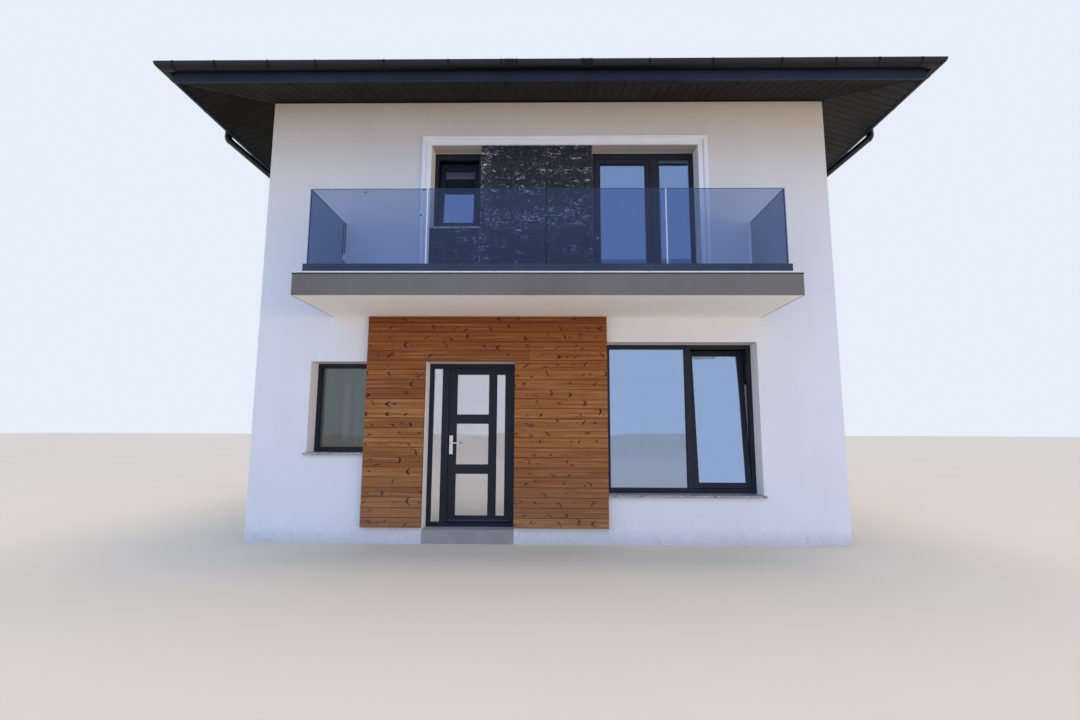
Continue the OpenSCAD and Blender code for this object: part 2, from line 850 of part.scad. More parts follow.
module window_sashes() {
    color("#24272c") on_front() {
        tilted(living_sash, sash_tilt) ring(living_sash, sash_w, sash_y0, sash_d);
        tilted(upper_sash, upper_tilt) ring(upper_sash, sash_w, sash_y0, sash_d);
        ring(balcony_sash, sash_w, sash_y0, sash_d);
    }
}

module front_glass() {
    color("lightblue", 0.5) on_front() {
        pane([door_hole[0] + jamb_w, post_x0, clear_z0, clear_z1]);
        pane(inside(kitchen_hole, frame_w));
        pane([living_hole[0] + frame_w, living_post_x, living_hole[2] + frame_w, living_hole[3] - frame_w]);
        tilted(living_sash, sash_tilt) pane(inside(living_sash, sash_w), sash_pane_y);
        tilted(upper_sash, upper_tilt) pane(inside(upper_sash, sash_w), sash_pane_y);
        pane(inside(balcony_sash, sash_w), sash_pane_y);
        pane([balcony_post_x + balcony_post, balcony_in[1], balcony_in[2], balcony_in[3]]);
    }
}

module side_windows() {
    color("#24272c") {
        on_left() for (h = side_holes) ring(h, frame_w, reveal, frame_d);
        on_right() for (h = side_holes) ring(h, frame_w, reveal, frame_d);
    }
}

module back_windows() {
    color("#24272c") on_back() {
        union() large_frame(back_large, back_post_x);
        for (h = back_small) ring(h, frame_w, reveal, frame_d);
    }
}

module side_and_back_glass() {
    z0 = back_large[2] + frame_w;
    z1 = back_large[3] - frame_w;
    color("lightblue", 0.5) {
        on_left() for (h = side_holes) pane(inside(h, frame_w));
        on_right() for (h = side_holes) pane(inside(h, frame_w));
        on_back() {
            for (h = back_small) pane(inside(h, frame_w));
            pane([back_large[0] + frame_w, back_post_x, z0, z1]);
            pane([back_post_x + living_post, back_large[1] - frame_w, z0, z1]);
        }
    }
}

// Sill that fills the bottom of an opening, with a nosing that runs past it
module sill(h, left = sill_horn, right = sill_horn) {
    block(h[0], h[1], 0, wall_t, h[2] - sill_t, h[2]);
    block(h[0] - left, h[1] + right, -sill_out, 0, h[2] - sill_t, h[2]);
}

module window_sills() {
    color("rosybrown") {
        on_front() {
            union() sill(kitchen_hole, sill_horn, 0);
            union() sill(living_hole, 0, sill_horn);
            union() sill(upper_hole, 0, 0);
        }
        on_left() for (h = side_holes) union() sill(h);
        on_right() for (h = side_holes) union() sill(h);
        on_back() for (h = concat([back_large], back_small)) union() sill(h);
    }
}

// Boards under the eaves along one wall, mitred at the hips
module soffit_side(half) {
    intersection() {
        rotate([90, 0, 90]) linear_extrude(height = 2 * (half + overhang), center = true)
            polygon([
                [-eaves, soffit_z - eaves * tan(pitch)], [0, soffit_z],
                [0, deck_z], [-eaves, deck_z - eaves * tan(pitch)]
            ]);
        linear_extrude(height = 2 * soffit_z)
            polygon([
                [-half - eaves + mitre, -eaves], [half + eaves - mitre, -eaves],
                [half - mitre, 0], [half - mitre, over], [-half + mitre, over], [-half + mitre, 0]
            ]);
    }
}

module soffit() {
    color("#2b2d31") {
        on_front() soffit_side(half_w);
        on_back() soffit_side(half_w);
        on_left() soffit_side(half_d);
        on_right() soffit_side(half_d);
    }
}

module fascia() {
    color("#2b2d31")
        difference() {
            block(-half_w - overhang, half_w + overhang, -half_d - overhang, half_d + overhang,
                fascia_z0, fascia_z1);
            block(-half_w - eaves, half_w + eaves, -half_d - eaves, half_d + eaves,
                fascia_z0 - over, fascia_z1 + over);
        }
}

// One gutter along a wall of the given half length, its back rim on the fascia
module gutter(half) {
    reach = overhang + 2 * gutter_r;
    translate([0, -overhang - gutter_r, gutter_z])
        intersection() {
            rotate([90, 0, 90]) linear_extrude(height = 2 * (half + reach), center = true)
                difference() {
                    circle(r = gutter_r);
                    circle(r = gutter_r - gutter_t);
                    translate([-2 * gutter_r, 0]) square([4 * gutter_r, 2 * gutter_r]);
                }
            translate([0, 0, -2 * gutter_r]) linear_extrude(height = 4 * gutter_r)
                polygon([
                    [-half - reach + mitre, -gutter_r], [half + reach - mitre, -gutter_r],
                    [half + overhang - mitre, gutter_r], [-half - overhang + mitre, gutter_r]
                ]);
        }
}

module gutters() {
    color("#2b2d31") {
        on_front() gutter(half_w);
        on_back() gutter(half_w);
        on_left() gutter(half_d);
        on_right() gutter(half_d);
    }
}

// Downpipe on a side wall: x along the wall, y into the house
module downpipe(x) {
    wall_y = -pipe_off - pipe_r;
    gutter_y = -overhang - gutter_r;
    turn = 90 - pipe_slope;
    back = bend_r * tan(turn / 2);
    top_z = gutter_z - gutter_r - pipe_neck;
    run = wall_y - gutter_y;
    foot_z = top_z - back - run * tan(pipe_slope);
    clamp_step = (foot_z - back - pipe_end - clamp_in - clamp_top) / 3;
    difference() {
        union() {
            // Drawn in the upright plane of the pipe: its x runs towards the wall, its y up
            translate([x, 0, 0]) rotate([90, 0, 90]) {
                translate([gutter_y + bend_r, top_z, 0]) rotate([0, 0, 180]) elbow(turn);
                translate([wall_y - bend_r, foot_z - back, 0]) elbow(turn);
                translate([gutter_y, top_z - back, 0]) rotate([0, 0, -90 + turn]) translate([back - socket_in, 0, 0])
                    rotate([0, 90, 0]) cylinder(h = run / cos(pipe_slope) - 2 * back + 2 * socket_in, r = pipe_r);
            }
            translate([x, gutter_y, top_z - socket_in]) cylinder(h = gutter_z - top_z + socket_in, r = pipe_r);
            translate([x, wall_y, pipe_end]) cylinder(h = foot_z - back + socket_in - pipe_end, r = pipe_r);
            for (i = [0 : 3])
                translate([x, wall_y, pipe_end + clamp_in + i * clamp_step]) {
                    cylinder(h = clamp_l, r = pipe_r + socket_t);
                    block(-clamp_arm / 2, clamp_arm / 2, 0, pipe_r + pipe_off, 0, clamp_l);
                }
        }
        translate([x, gutter_y, gutter_z]) rotate([0, 90, 0]) cylinder(h = 4 * pipe_r, r = gutter_r, center = true);
        translate([x, gutter_y, gutter_z]) cylinder(h = 2 * gutter_r, r = 2 * pipe_r);
    }
}

// Bend of a downpipe, its sockets a little wider than the pipe
module elbow(turn) {
    rotate_extrude(angle = turn) translate([bend_r, 0]) circle(r = pipe_r + socket_t);
}

module downpipes() {
    color("#2b2d31") {
        on_left() for (x = [-1, 1]) downpipe(x * (half_d - pipe_in));
        on_right() for (x = [-1, 1]) downpipe(x * (half_d - pipe_in));
    }
}

ground_floor_slab();
upper_floor_slab();
ceiling_slab();
front_wall_left();
front_wall_right();
front_wall_over_door();
front_wall_upper();
back_wall();
left_wall();
right_wall();
ring_beam();
wood_cladding_left();
wood_cladding_right();
wood_cladding_over_door();
stone_cladding();
window_surround();
balcony_slab();
balcony_edge_band();
balcony_drip_edge();
balcony_floor();
railing_channel();
railing_glass();
door_frame();
door_leaf();
door_glass();
door_plates();
door_lever();
ground_window_frames();
upper_window_frames();
window_sashes();
front_glass();
side_windows();
back_windows();
side_and_back_glass();
window_sills();
roof_front();
roof_back();
roof_left();
roof_right();
roof_caps();
soffit();
fascia();
gutters();
downpipes();
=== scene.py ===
import itertools
import math

import bmesh
import bpy
from mathutils import Matrix, Vector


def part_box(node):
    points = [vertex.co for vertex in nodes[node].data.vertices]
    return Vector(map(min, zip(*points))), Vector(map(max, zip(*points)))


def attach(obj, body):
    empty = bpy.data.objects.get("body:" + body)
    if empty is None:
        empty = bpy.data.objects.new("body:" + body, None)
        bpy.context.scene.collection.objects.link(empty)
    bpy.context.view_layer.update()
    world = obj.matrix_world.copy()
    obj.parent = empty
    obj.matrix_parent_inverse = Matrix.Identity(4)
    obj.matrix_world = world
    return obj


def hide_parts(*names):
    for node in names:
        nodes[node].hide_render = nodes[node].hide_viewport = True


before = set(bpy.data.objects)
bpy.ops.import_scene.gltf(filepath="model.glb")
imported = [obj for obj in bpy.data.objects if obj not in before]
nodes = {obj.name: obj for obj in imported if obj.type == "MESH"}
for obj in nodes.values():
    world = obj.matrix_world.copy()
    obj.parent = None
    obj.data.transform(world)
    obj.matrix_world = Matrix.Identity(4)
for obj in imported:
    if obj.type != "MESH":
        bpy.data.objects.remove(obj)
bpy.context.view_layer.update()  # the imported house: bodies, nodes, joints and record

scene = bpy.context.scene
scene.view_settings.view_transform = "Standard"


# small tools for finishes

def paint(red, green, blue):  # screen colour 0-255 to a shader colour
    def linear(value):
        value = value / 255
        return value / 12.92 if value <= 0.04045 else ((value + 0.055) / 1.055) ** 2.4
    return (linear(red), linear(green), linear(blue), 1.0)


def operator(name, swapped=False):  # one sign of arithmetic between sockets and numbers
    def act(self, other):
        return self.work(name, other, self) if swapped else self.work(name, self, other)
    return act


class Wire:  # a socket that can stand in a sum
    def __init__(self, maker, socket):
        self.maker = maker
        self.socket = socket

    def work(self, operation, first, second=0.0):
        return self.maker.add("ShaderNodeMath", {"operation": operation}, {0: first, 1: second})

    __add__ = __radd__ = operator("ADD")
    __mul__ = __rmul__ = operator("MULTIPLY")
    __sub__ = operator("SUBTRACT")
    __rsub__ = operator("SUBTRACT", swapped=True)
    __truediv__ = operator("DIVIDE")
    __rtruediv__ = operator("DIVIDE", swapped=True)
    __pow__ = operator("POWER")
    __gt__ = operator("GREATER_THAN")
    __lt__ = operator("LESS_THAN")

    def __abs__(self):
        return self.work("ABSOLUTE", self)

    def floor(self):
        return self.work("FLOOR", self)

    def fract(self):
        return self.work("FRACT", self)


class Maker:  # adds nodes to one tree
    def __init__(self, tree):
        self.tree = tree
        tree.nodes.clear()

    def add(self, kind, settings=None, sockets=None, out=0):
        node = self.tree.nodes.new(kind)
        for key, value in (settings or {}).items():
            setattr(node, key, value)
        for key, value in (sockets or {}).items():
            if isinstance(value, Wire):
                self.tree.links.new(value.socket, node.inputs[key])
            else:
                node.inputs[key].default_value = value
        return Wire(self, node.outputs[out]) if len(node.outputs) else node

    def mix(self, first, second, amount, blend="MIX"):  # a colour may be a screen colour of three
        settings = {"data_type": "RGBA", "blend_type": blend}
        sockets = {0: amount, 6: first, 7: second}
        for key in (6, 7):
            if isinstance(sockets[key], tuple) and len(sockets[key]) == 3:
                sockets[key] = paint(*sockets[key])
        return self.add("ShaderNodeMix", settings, sockets, out=2)

    def coats(self, tone, *layers):  # each layer is a colour and how much of it shows
        for colour, amount in layers:
            tone = self.mix(tone, colour, amount)
        return tone

    def fade(self, value, low, high):  # 0 up to low, 1 from high on, eased between
        return self.add("ShaderNodeMapRange", {"interpolation_type": "SMOOTHSTEP"},
                        {"Value": value, "From Min": low, "From Max": high})

    def split(self, vector):
        node = self.add("ShaderNodeSeparateXYZ", None, {0: vector}).socket.node
        return [Wire(self, node.outputs[i]) for i in range(3)]

    def join(self, x, y, z):
        return self.add("ShaderNodeCombineXYZ", None, {0: x, 1: y, 2: z})

    def noise(self, where, scale, detail=2.0, rough=0.5, twist=0.0):
        sockets = {"Vector": where, "Scale": scale, "Detail": detail, "Roughness": rough, "Distortion": twist}
        return self.add("ShaderNodeTexNoise", None, sockets)

    def cells(self, where, scale, out="Distance"):
        return self.add("ShaderNodeTexVoronoi", None, {"Vector": where, "Scale": scale}, out)

    def chance(self, seed):  # an even random value for each seed
        return self.add("ShaderNodeTexWhiteNoise", {"noise_dimensions": "1D"}, {"W": seed}, "Value")

    def bump(self, height, depth):
        return self.add("ShaderNodeBump", None, {"Height": height, "Distance": depth, "Strength": 1.0})


class Finish(Maker):  # one material
    def __init__(self, name):
        self.material = bpy.data.materials.new(name)
        self.material.use_nodes = True
        super().__init__(self.material.node_tree)
        self.place = self.add("ShaderNodeTexCoord", out="Object")
        self.x, self.y, self.z = self.split(self.place)

    def spread(self, x, y, z):  # the place, stretched along each axis
        return self.add("ShaderNodeVectorMath", {"operation": "MULTIPLY"}, {0: self.place, 1: (x, y, z)})

    def skin(self, sockets):
        return self.add("ShaderNodeBsdfPrincipled", None, sockets)

    def done(self, shader):
        self.add("ShaderNodeOutputMaterial", None, {"Surface": shader})
        return self.material

    def plain(self, tone, rough, height, depth, **more):  # colour, roughness and relief on one skin
        names = {"gloss": "Specular IOR Level", "metal": "Metallic"}
        sockets = {"Base Color": tone, "Roughness": rough, "Normal": self.bump(height, depth)}
        return self.done(self.skin(sockets | {names[key]: value for key, value in more.items()}))


# small tools for shapes

class Shape:  # gathers the points and faces of one piece
    def __init__(self):
        self.points = []
        self.faces = []
        self.marks = []

    def add(self, points, faces, mark=0, place=None):
        base = len(self.points)
        self.points += [place(*point) if place else tuple(point) for point in points]
        self.faces += [tuple(base + i for i in face) for face in faces]
        self.marks += [mark] * len(faces)

    def box(self, low, high, ease=0.001, mark=0, place=None):  # a block with eased edges
        corners = list(itertools.product((-1, 1), repeat=3))
        turns = ((-1, -1), (1, -1), (1, 1), (-1, 1))
        mid = [(a + b) / 2 for a, b in zip(low, high)]
        half = [(b - a) / 2 for a, b in zip(low, high)]
        ease = min(ease, 0.45 * min(half))
        points, index = [], {}
        for axis, sign in itertools.product(range(3), corners):
            index[axis, sign] = len(points)
            points.append([mid[i] + sign[i] * (half[i] - (0 if i == axis else ease)) for i in range(3)])

        def corner(face, axis, end, turn):  # the point of one face next to a corner of the block
            sign = [0, 0, 0]
            sign[axis], sign[(axis + 1) % 3], sign[(axis + 2) % 3] = end, turn[0], turn[1]
            return index[face, tuple(sign)]

        faces = []
        for axis in range(3):
            b, c = (axis + 1) % 3, (axis + 2) % 3
            faces += [[corner(axis, axis, side, turn) for turn in turns] for side in (-1, 1)]
            for turn in turns:  # the eased edge between the faces b and c
                around = ((b, -1), (b, 1), (c, 1), (c, -1))
                faces.append([corner(face, axis, end, turn) for face, end in around])
        faces += [[index[axis, sign] for axis in range(3)] for sign in corners]
        self.add(points, faces, mark, place)

    def loft(self, rings, mark=0, closed=False, place=None):  # joins rings of as many points each
        count, last = len(rings[0]), len(rings) - 1
        faces = []
        for r in range(last + closed):
            a, b = r * count, (r + 1) % len(rings) * count
            faces += [(a + i, a + (i + 1) % count, b + (i + 1) % count, b + i) for i in range(count)]
        if not closed:
            faces += [tuple(range(count)), tuple(range(last * count, (last + 1) * count))]
        self.add([point for ring in rings for point in ring], faces, mark, place)

    def bar(self, outline, start, end, place=None):  # outline (depth, height) run along x
        self.loft([[(x, d, h) for d, h in outline] for x in (start, end)], place=place)

    def ring(self, rect, outline, mark=0, place=None, sides=4):  # outline (inset, depth) round a rectangle
        x0, x1, z0, z1 = rect
        foot = 1 if sides == 4 else 0  # with three sides it is open at the foot
        path = [(x0, z0, 1, foot), (x0, z1, 1, -1), (x1, z1, -1, -1), (x1, z0, -1, foot)]
        rings = [[(x + sx * u, v, z + sz * u) for u, v in outline] for x, z, sx, sz in path]
        self.loft(rings, mark, sides == 4, place)

    def turn(self, outline, centre, axis, steps):  # outline (radius, height) turned about an axis
        axis = Vector(axis).normalized()
        side = axis.orthogonal().normalized()
        other = axis.cross(side)
        angles = [2 * math.pi * k / steps for k in range(steps)]
        spokes = [side * math.cos(a) + other * math.sin(a) for a in angles]
        self.loft([[Vector(centre) + axis * height + spoke * max(radius, 1e-4) for spoke in spokes]
                   for radius, height in outline])


def putIn(name, data):  # a new object in the scene
    thing = bpy.data.objects.new(name, data)
    scene.collection.objects.link(thing)
    return thing


def addPiece(name, mesh, body="house", slot=None, instead=(), smooth=35):
    mesh.polygons.foreach_set("use_smooth", [True] * len(mesh.polygons))
    mesh.set_sharp_from_angle(angle=math.radians(smooth))
    piece = putIn(name, mesh)
    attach(piece, body)
    if instead:
        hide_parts(*instead)
    return piece


def makePiece(name, shape, finishes, *rest, **more):
    mesh = bpy.data.meshes.new(name)
    mesh.from_pydata(shape.points, [], shape.faces)
    for finish in finishes:
        mesh.materials.append(finish)
    mesh.polygons.foreach_set("material_index", shape.marks)
    tidy = bmesh.new()
    tidy.from_mesh(mesh)
    bmesh.ops.recalc_face_normals(tidy, faces=tidy.faces)
    tidy.to_mesh(mesh)
    tidy.free()
    addPiece(name, mesh, *rest, **more)


def dress(names, finish, ease=0.0):  # gives CAD nodes a finish and eased edges
    for name in names:
        node = nodes[name]
        for slot in range(len(node.data.materials)):
            node.data.materials[slot] = finish
        if ease:
            weld = node.modifiers.new("weld", "WELD")  # joins the loose corners of the CAD mesh
            weld.merge_threshold = 0.00002
            bevel = node.modifiers.new("ease", "BEVEL")
            bevel.width = ease
            bevel.segments = 2
            bevel.limit_method = "ANGLE"
            bevel.angle_limit = math.radians(40)
            even = node.modifiers.new("even", "WEIGHTED_NORMAL")
            even.weight = 100
            node.data.polygons.foreach_set("use_smooth", [True] * len(node.data.polygons))


def islands(name):  # the separate solids of a CAD node, as lists of corners
    index, parent, corner = {}, [], []
    for vertex in nodes[name].data.vertices:
        key = tuple(round(c, 5) for c in vertex.co)
        if key not in index:
            index[key] = len(parent)
            parent.append(len(parent))
        corner.append(index[key])

    def root(i):
        while parent[i] != i:
            i = parent[i]
        return i

    for face in nodes[name].data.polygons:
        first = root(corner[face.vertices[0]])
        for other in face.vertices[1:]:
            parent[root(corner[other])] = first
    groups = {}
    for key, i in index.items():
        groups.setdefault(root(i), []).append(Vector(key))
    return sorted(groups.values(), key=lambda group: tuple(min(p[i] for p in group) for i in range(3)))


def facing(points, out):  # the outer face of a pane: width, height and a placing function
    out = Vector(out)
    side = Vector((0, 0, 1)).cross(-out)
    order = sorted(points, key=lambda p: p.dot(side))
    corners = []
    for half in (order[:4], order[4:]):
        half = sorted(half, key=lambda p: p.z)
        corners.append([max(pair, key=lambda p: p.dot(out)) for pair in (half[:2], half[2:])])
    start = corners[0][0]
    across = corners[1][0] - start
    up = corners[0][1] - start
    normal = across.cross(up).normalized()
    if normal.dot(out) < 0:
        normal = -normal
    u, w = across.normalized(), up.normalized()
    return across.length, up.length, lambda a, d, h: tuple(start + u * a + normal * d + w * h)


# the house's own places, in metres

house = {
    "halfWidth": 3.835,
    "halfDepth": 4.7,
    "overhang": 0.839,
    "fall": math.tan(math.radians(17)),
    "soffitTop": 6.001,
    "tilePlane": 6.2098,
    "ridgeTop": 7.4003,
    "ridgeHalf": 0.865,
    "gutterRim": 5.905,
}
halfWidth, halfDepth = house["halfWidth"], house["halfDepth"]
walls = {  # along a wall, in from its face, and height to a place in the house
    "front": lambda x, y, z: (x, y - halfDepth, z),
    "back": lambda x, y, z: (-x, halfDepth - y, z),
    "left": lambda x, y, z: (y - halfWidth, -x, z),
    "right": lambda x, y, z: (halfWidth - y, x, z),
}
onFront = walls["front"]
wallHalf = {"front": halfWidth, "back": halfWidth, "left": halfDepth, "right": halfDepth}
outward = {"front": (0, -1, 0), "back": (0, 1, 0), "left": (-1, 0, 0), "right": (1, 0, 0)}


def nearestWall(point):
    gaps = {"front": abs(point.y + halfDepth), "back": abs(point.y - halfDepth),
            "left": abs(point.x + halfWidth), "right": abs(point.x - halfWidth)}
    return min(gaps, key=gaps.get)


# camera, light and floor

view = {"place": (0.011, -11.638, 1.446), "tilt": 7.371, "turn": 0.757, "roll": 0.216, "lens": 17.719}

lens = bpy.data.cameras.new("camera")
lens.sensor_fit = "HORIZONTAL"
lens.sensor_width = 36.0
lens.lens = view["lens"]
lens.clip_end = 400.0
camera = putIn("camera", lens)
camera.matrix_world = (Matrix.Translation(view["place"])
                       @ Matrix.Rotation(math.radians(view["turn"]), 4, "Z")
                       @ Matrix.Rotation(math.radians(90 + view["tilt"]), 4, "X")
                       @ Matrix.Rotation(math.radians(view["roll"]), 4, "Z"))
scene.camera = camera

studio = {
    "sky": (0.41, 0.59, 1.0, 1.0),
    "skyLevel": 0.98,
    "pale": (0.83, 0.90, 1.0, 1.0),
    "paleLevel": 0.95,
    "topLevel": 1.4,
    "topColour": (1.0, 0.84, 0.62),
    "topSpread": 40.0,
    "topLean": (8.0, 4.0),  # degrees, towards the front and the right
    "aimHeight": 3.2,  # the panels look at this height of the front
    "floorReach": 120.0,
}
softPanels = {  # place, size, power and colour
    "front_light": ((18.0, -17.0, 1.8), (14.0, 3.5), 960.0, (1.0, 0.75, 0.49)),
    "left_light": ((-18.0, -14.0, 6.0), (10.0, 5.0), 240.0, (0.80, 0.88, 1.0)),
    "high_light": ((-2.0, -16.0, 15.0), (30.0, 8.0), 540.0, (0.62, 0.80, 1.0)),
}

world = bpy.data.worlds.new("studio")
world.use_nodes = True
scene.world = world
air = Maker(world.node_tree)
rayPath = air.add("ShaderNodeLightPath").socket.node
rays = ("Is Camera Ray", "Is Glossy Ray", "Is Transmission Ray")
seen = [Wire(air, rayPath.outputs[name]) for name in rays]
lit = air.add("ShaderNodeBackground", None, {"Color": studio["sky"], "Strength": studio["skyLevel"]})
shown = air.add("ShaderNodeBackground", None, {"Color": studio["pale"], "Strength": studio["paleLevel"]})
both = air.add("ShaderNodeMixShader", None, {0: seen[0] + seen[1] + seen[2], 1: lit, 2: shown})
air.add("ShaderNodeOutputWorld", None, {"Surface": both})

top = bpy.data.lights.new("top_light", "SUN")
top.energy = studio["topLevel"]
top.color = studio["topColour"]
top.angle = math.radians(studio["topSpread"])
frontLean, rightLean = studio["topLean"]
putIn("top_light", top).rotation_euler = (math.radians(-frontLean), math.radians(rightLean), 0)

for name, (place, size, power, colour) in softPanels.items():  # turned to the front of the house
    lamp = bpy.data.lights.new(name, "AREA")
    lamp.shape = "RECTANGLE"
    lamp.size, lamp.size_y = size
    lamp.energy = power
    lamp.color = colour
    panel = putIn(name, lamp)
    panel.location = place
    aim = Vector((0, -halfDepth, studio["aimHeight"])) - Vector(place)
    panel.rotation_euler = aim.to_track_quat("-Z", "Y").to_euler()
    panel.visible_glossy = False


def floorFinish():
    f = Finish("studio_floor")
    cloud = f.noise(f.place, 0.35, 3.0)
    grain = f.noise(f.place, 60.0, 3.0)
    colour = f.mix((224, 207, 181), (230, 214, 189), cloud)
    return f.plain(colour, 0.85, grain, 0.0006)


reach = studio["floorReach"]
corners = [(-reach, -reach, 0), (reach, -reach, 0), (reach, reach, 0), (-reach, reach, 0)]
floorMesh = bpy.data.meshes.new("studio_floor")
floorMesh.from_pydata(corners, [], [(0, 1, 2, 3)])
floorMesh.materials.append(floorFinish())
putIn("studio_floor", floorMesh)
print("camera, light and floor set")


# finishes

# painted light and shade of the wall render: whiter reveal sides, warmer and darker reveal ceilings, a warm
# shade towards the eaves; splash and specks are dirt along the foot
wallSoilAndLight = {
    "reveal": (251, 250, 246), "revealCeiling": (212, 202, 190), "eaves": (246, 238, 226),
    "eavesShadeFrom": 2.6, "eavesShadeTo": 5.9, "splash": (160, 160, 166), "specks": (140, 126, 112), "skin": 0.001,
}


def renderFinish(name, pale, dark, stipple=0.0009, dirtAndLight=0.0):
    f = Finish(name)
    fine = f.noise(f.place, 420.0, 3.0, 0.6)
    coarse = f.noise(f.place, 130.0, 2.0)
    cloud = f.noise(f.place, 1.1, 4.0, 0.55)
    streak = f.noise(f.spread(5.0, 5.0, 0.5), 1.0, 3.0)
    colour = f.mix(dark, pale, f.fade(cloud * 0.6 + streak * 0.4, 0.3, 0.62))
    colour = f.mix(colour, f.mix(colour, (0.55, 0.55, 0.55, 1.0), 0.3), f.fade(fine, 0.56, 0.75) * 0.5)
    if dirtAndLight:  # painted light on the reveals' sides, painted shade on their ceilings and towards the eaves, and real splashes and dust along the foot
        w = wallSoilAndLight
        inside = f.x.work("MINIMUM", halfWidth - abs(f.x), halfDepth - abs(f.y))
        within = f.fade(inside, w["skin"], w["skin"] * 4)
        _, _, facingUp = f.split(f.add("ShaderNodeNewGeometry", out="Normal"))
        # painted light: the reveals' sides whiter; painted shade: their ceilings darker and warmer
        colour = f.coats(colour, (w["reveal"], within * (abs(facingUp) < 0.5)),
                         (w["revealCeiling"], within * (facingUp < -0.5)))
        # painted shade: the wall warmer and darker towards the eaves
        colour = f.mix(colour, w["eaves"], f.fade(f.z, w["eavesShadeFrom"], w["eavesShadeTo"]), "MULTIPLY")
        splash = f.noise(f.spread(1.0, 1.0, 1.6), 7.0, 4.0, 0.65)
        low = 1.0 - f.fade(f.z + splash * 0.22, 0.09, 0.34)
        specks = f.fade(f.noise(f.place, 38.0, 3.0), 0.6, 0.68) * (1.0 - f.fade(f.z, 0.02, 0.45))
        colour = f.coats(colour, (w["splash"], low * dirtAndLight), (w["specks"], specks * dirtAndLight * 0.8))
    return f.plain(colour, 0.92, fine * 0.7 + coarse * 0.5, stipple)


# coated metal and plastic; shadeBelow is painted shade, a dark tone between two heights, strongest at the
# lower one
def powderFinish(name, colour, shade, rough=0.42, grain=0.00015, gloss=0.25, shadeBelow=None):
    f = Finish(name)
    fine = f.noise(f.place, 900.0, 2.0)
    cloud = f.noise(f.place, 2.6, 3.0)
    dust = f.fade(f.noise(f.place, 22.0, 5.0, 0.7), 0.52, 0.72)
    tone = f.coats(colour, (shade, f.fade(cloud, 0.3, 0.7)), ((120, 118, 116), dust * 0.05))
    if shadeBelow:
        # painted shade on the underside
        tone = f.mix(tone, (5, 6, 6), 0.9 - f.fade(f.z, *shadeBelow) * 0.9)
    return f.plain(tone, rough + cloud * 0.1 + dust * 0.12, fine, grain, gloss=gloss)


def steelFinish():
    f = Finish("satin_steel")
    brushed = f.noise(f.spread(90.0, 90.0, 3000.0), 1.0, 2.0)
    cloud = f.noise(f.place, 35.0, 2.0)
    tone = f.mix((244, 244, 243), (226, 227, 228), f.fade(brushed, 0.35, 0.65))
    return f.plain(tone, 0.28 + cloud * 0.14, brushed, 0.00004, metal=0.35)


def rubberFinish():
    f = Finish("seal_rubber")
    fine = f.noise(f.place, 600.0, 2.0)
    tone = f.mix((20, 20, 21), (30, 30, 31), fine)
    return f.plain(tone, 0.7, fine, 0.0001)


def graniteFinish():
    f = Finish("granite")
    speck, flake, _ = f.split(f.cells(f.place, 170.0, "Color"))
    tone = f.coats((150, 150, 154), ((216, 215, 214), f.fade(speck, 0.2, 0.8)),
                   ((36, 36, 40), f.fade(flake, 0.72, 0.76)),
                   ((62, 60, 60), f.fade(f.noise(f.place, 62.0, 3.0), 0.52, 0.62) * 0.85))
    return f.plain(tone, 0.3 + speck * 0.15, f.noise(f.place, 300.0, 2.0), 0.0001)


def tileFinish():
    f = Finish("white_tile")
    cloud = f.noise(f.place, 14.0, 4.0)
    wear = f.fade(f.noise(f.place, 5.0, 5.0, 0.7), 0.55, 0.75)
    tone = f.coats((226, 225, 222), ((238, 237, 234), f.fade(cloud, 0.3, 0.7)),
                   ((170, 166, 160), wear * 0.3))
    return f.plain(tone, 0.35 + cloud * 0.15, f.noise(f.place, 180.0, 2.0), 0.0002)


def groutFinish():
    f = Finish("tile_grout")
    fine = f.noise(f.place, 500.0, 3.0)
    tone = f.mix((128, 124, 118), (152, 148, 142), fine)
    return f.plain(tone, 0.9, fine, 0.0004)


def concreteFinish(name, pale, dark):
    f = Finish(name)
    cloud = f.noise(f.place, 1.6, 5.0, 0.6)
    pores = f.fade(f.cells(f.place, 70.0), 0.05, 0.16)
    tone = f.mix(dark, pale, f.fade(cloud, 0.3, 0.7))
    tone = f.mix(f.mix(tone, (0.1, 0.1, 0.1, 1.0), 0.5), tone, pores)
    return f.plain(tone, 0.85, pores * 0.5 + cloud, 0.0012)


slabs = {"left": -1.594, "right": 0.629, "pier": -0.904, "foot": 3.189, "sill": 4.135, "head": 5.349,
         "joint": -0.008, "gap": 0.003, "front": 0.0, "back": 0.03, "ease": 0.0015}
veins = {"band": 4.30, "streaks": 3.84, "busyFrom": 4.0, "busyTo": 4.2, "ground": (21, 22, 27),
         "sheen": (38, 39, 47), "white": (252, 252, 254), "chalk": (190, 190, 190), "paleSides": (168, 168, 176)}


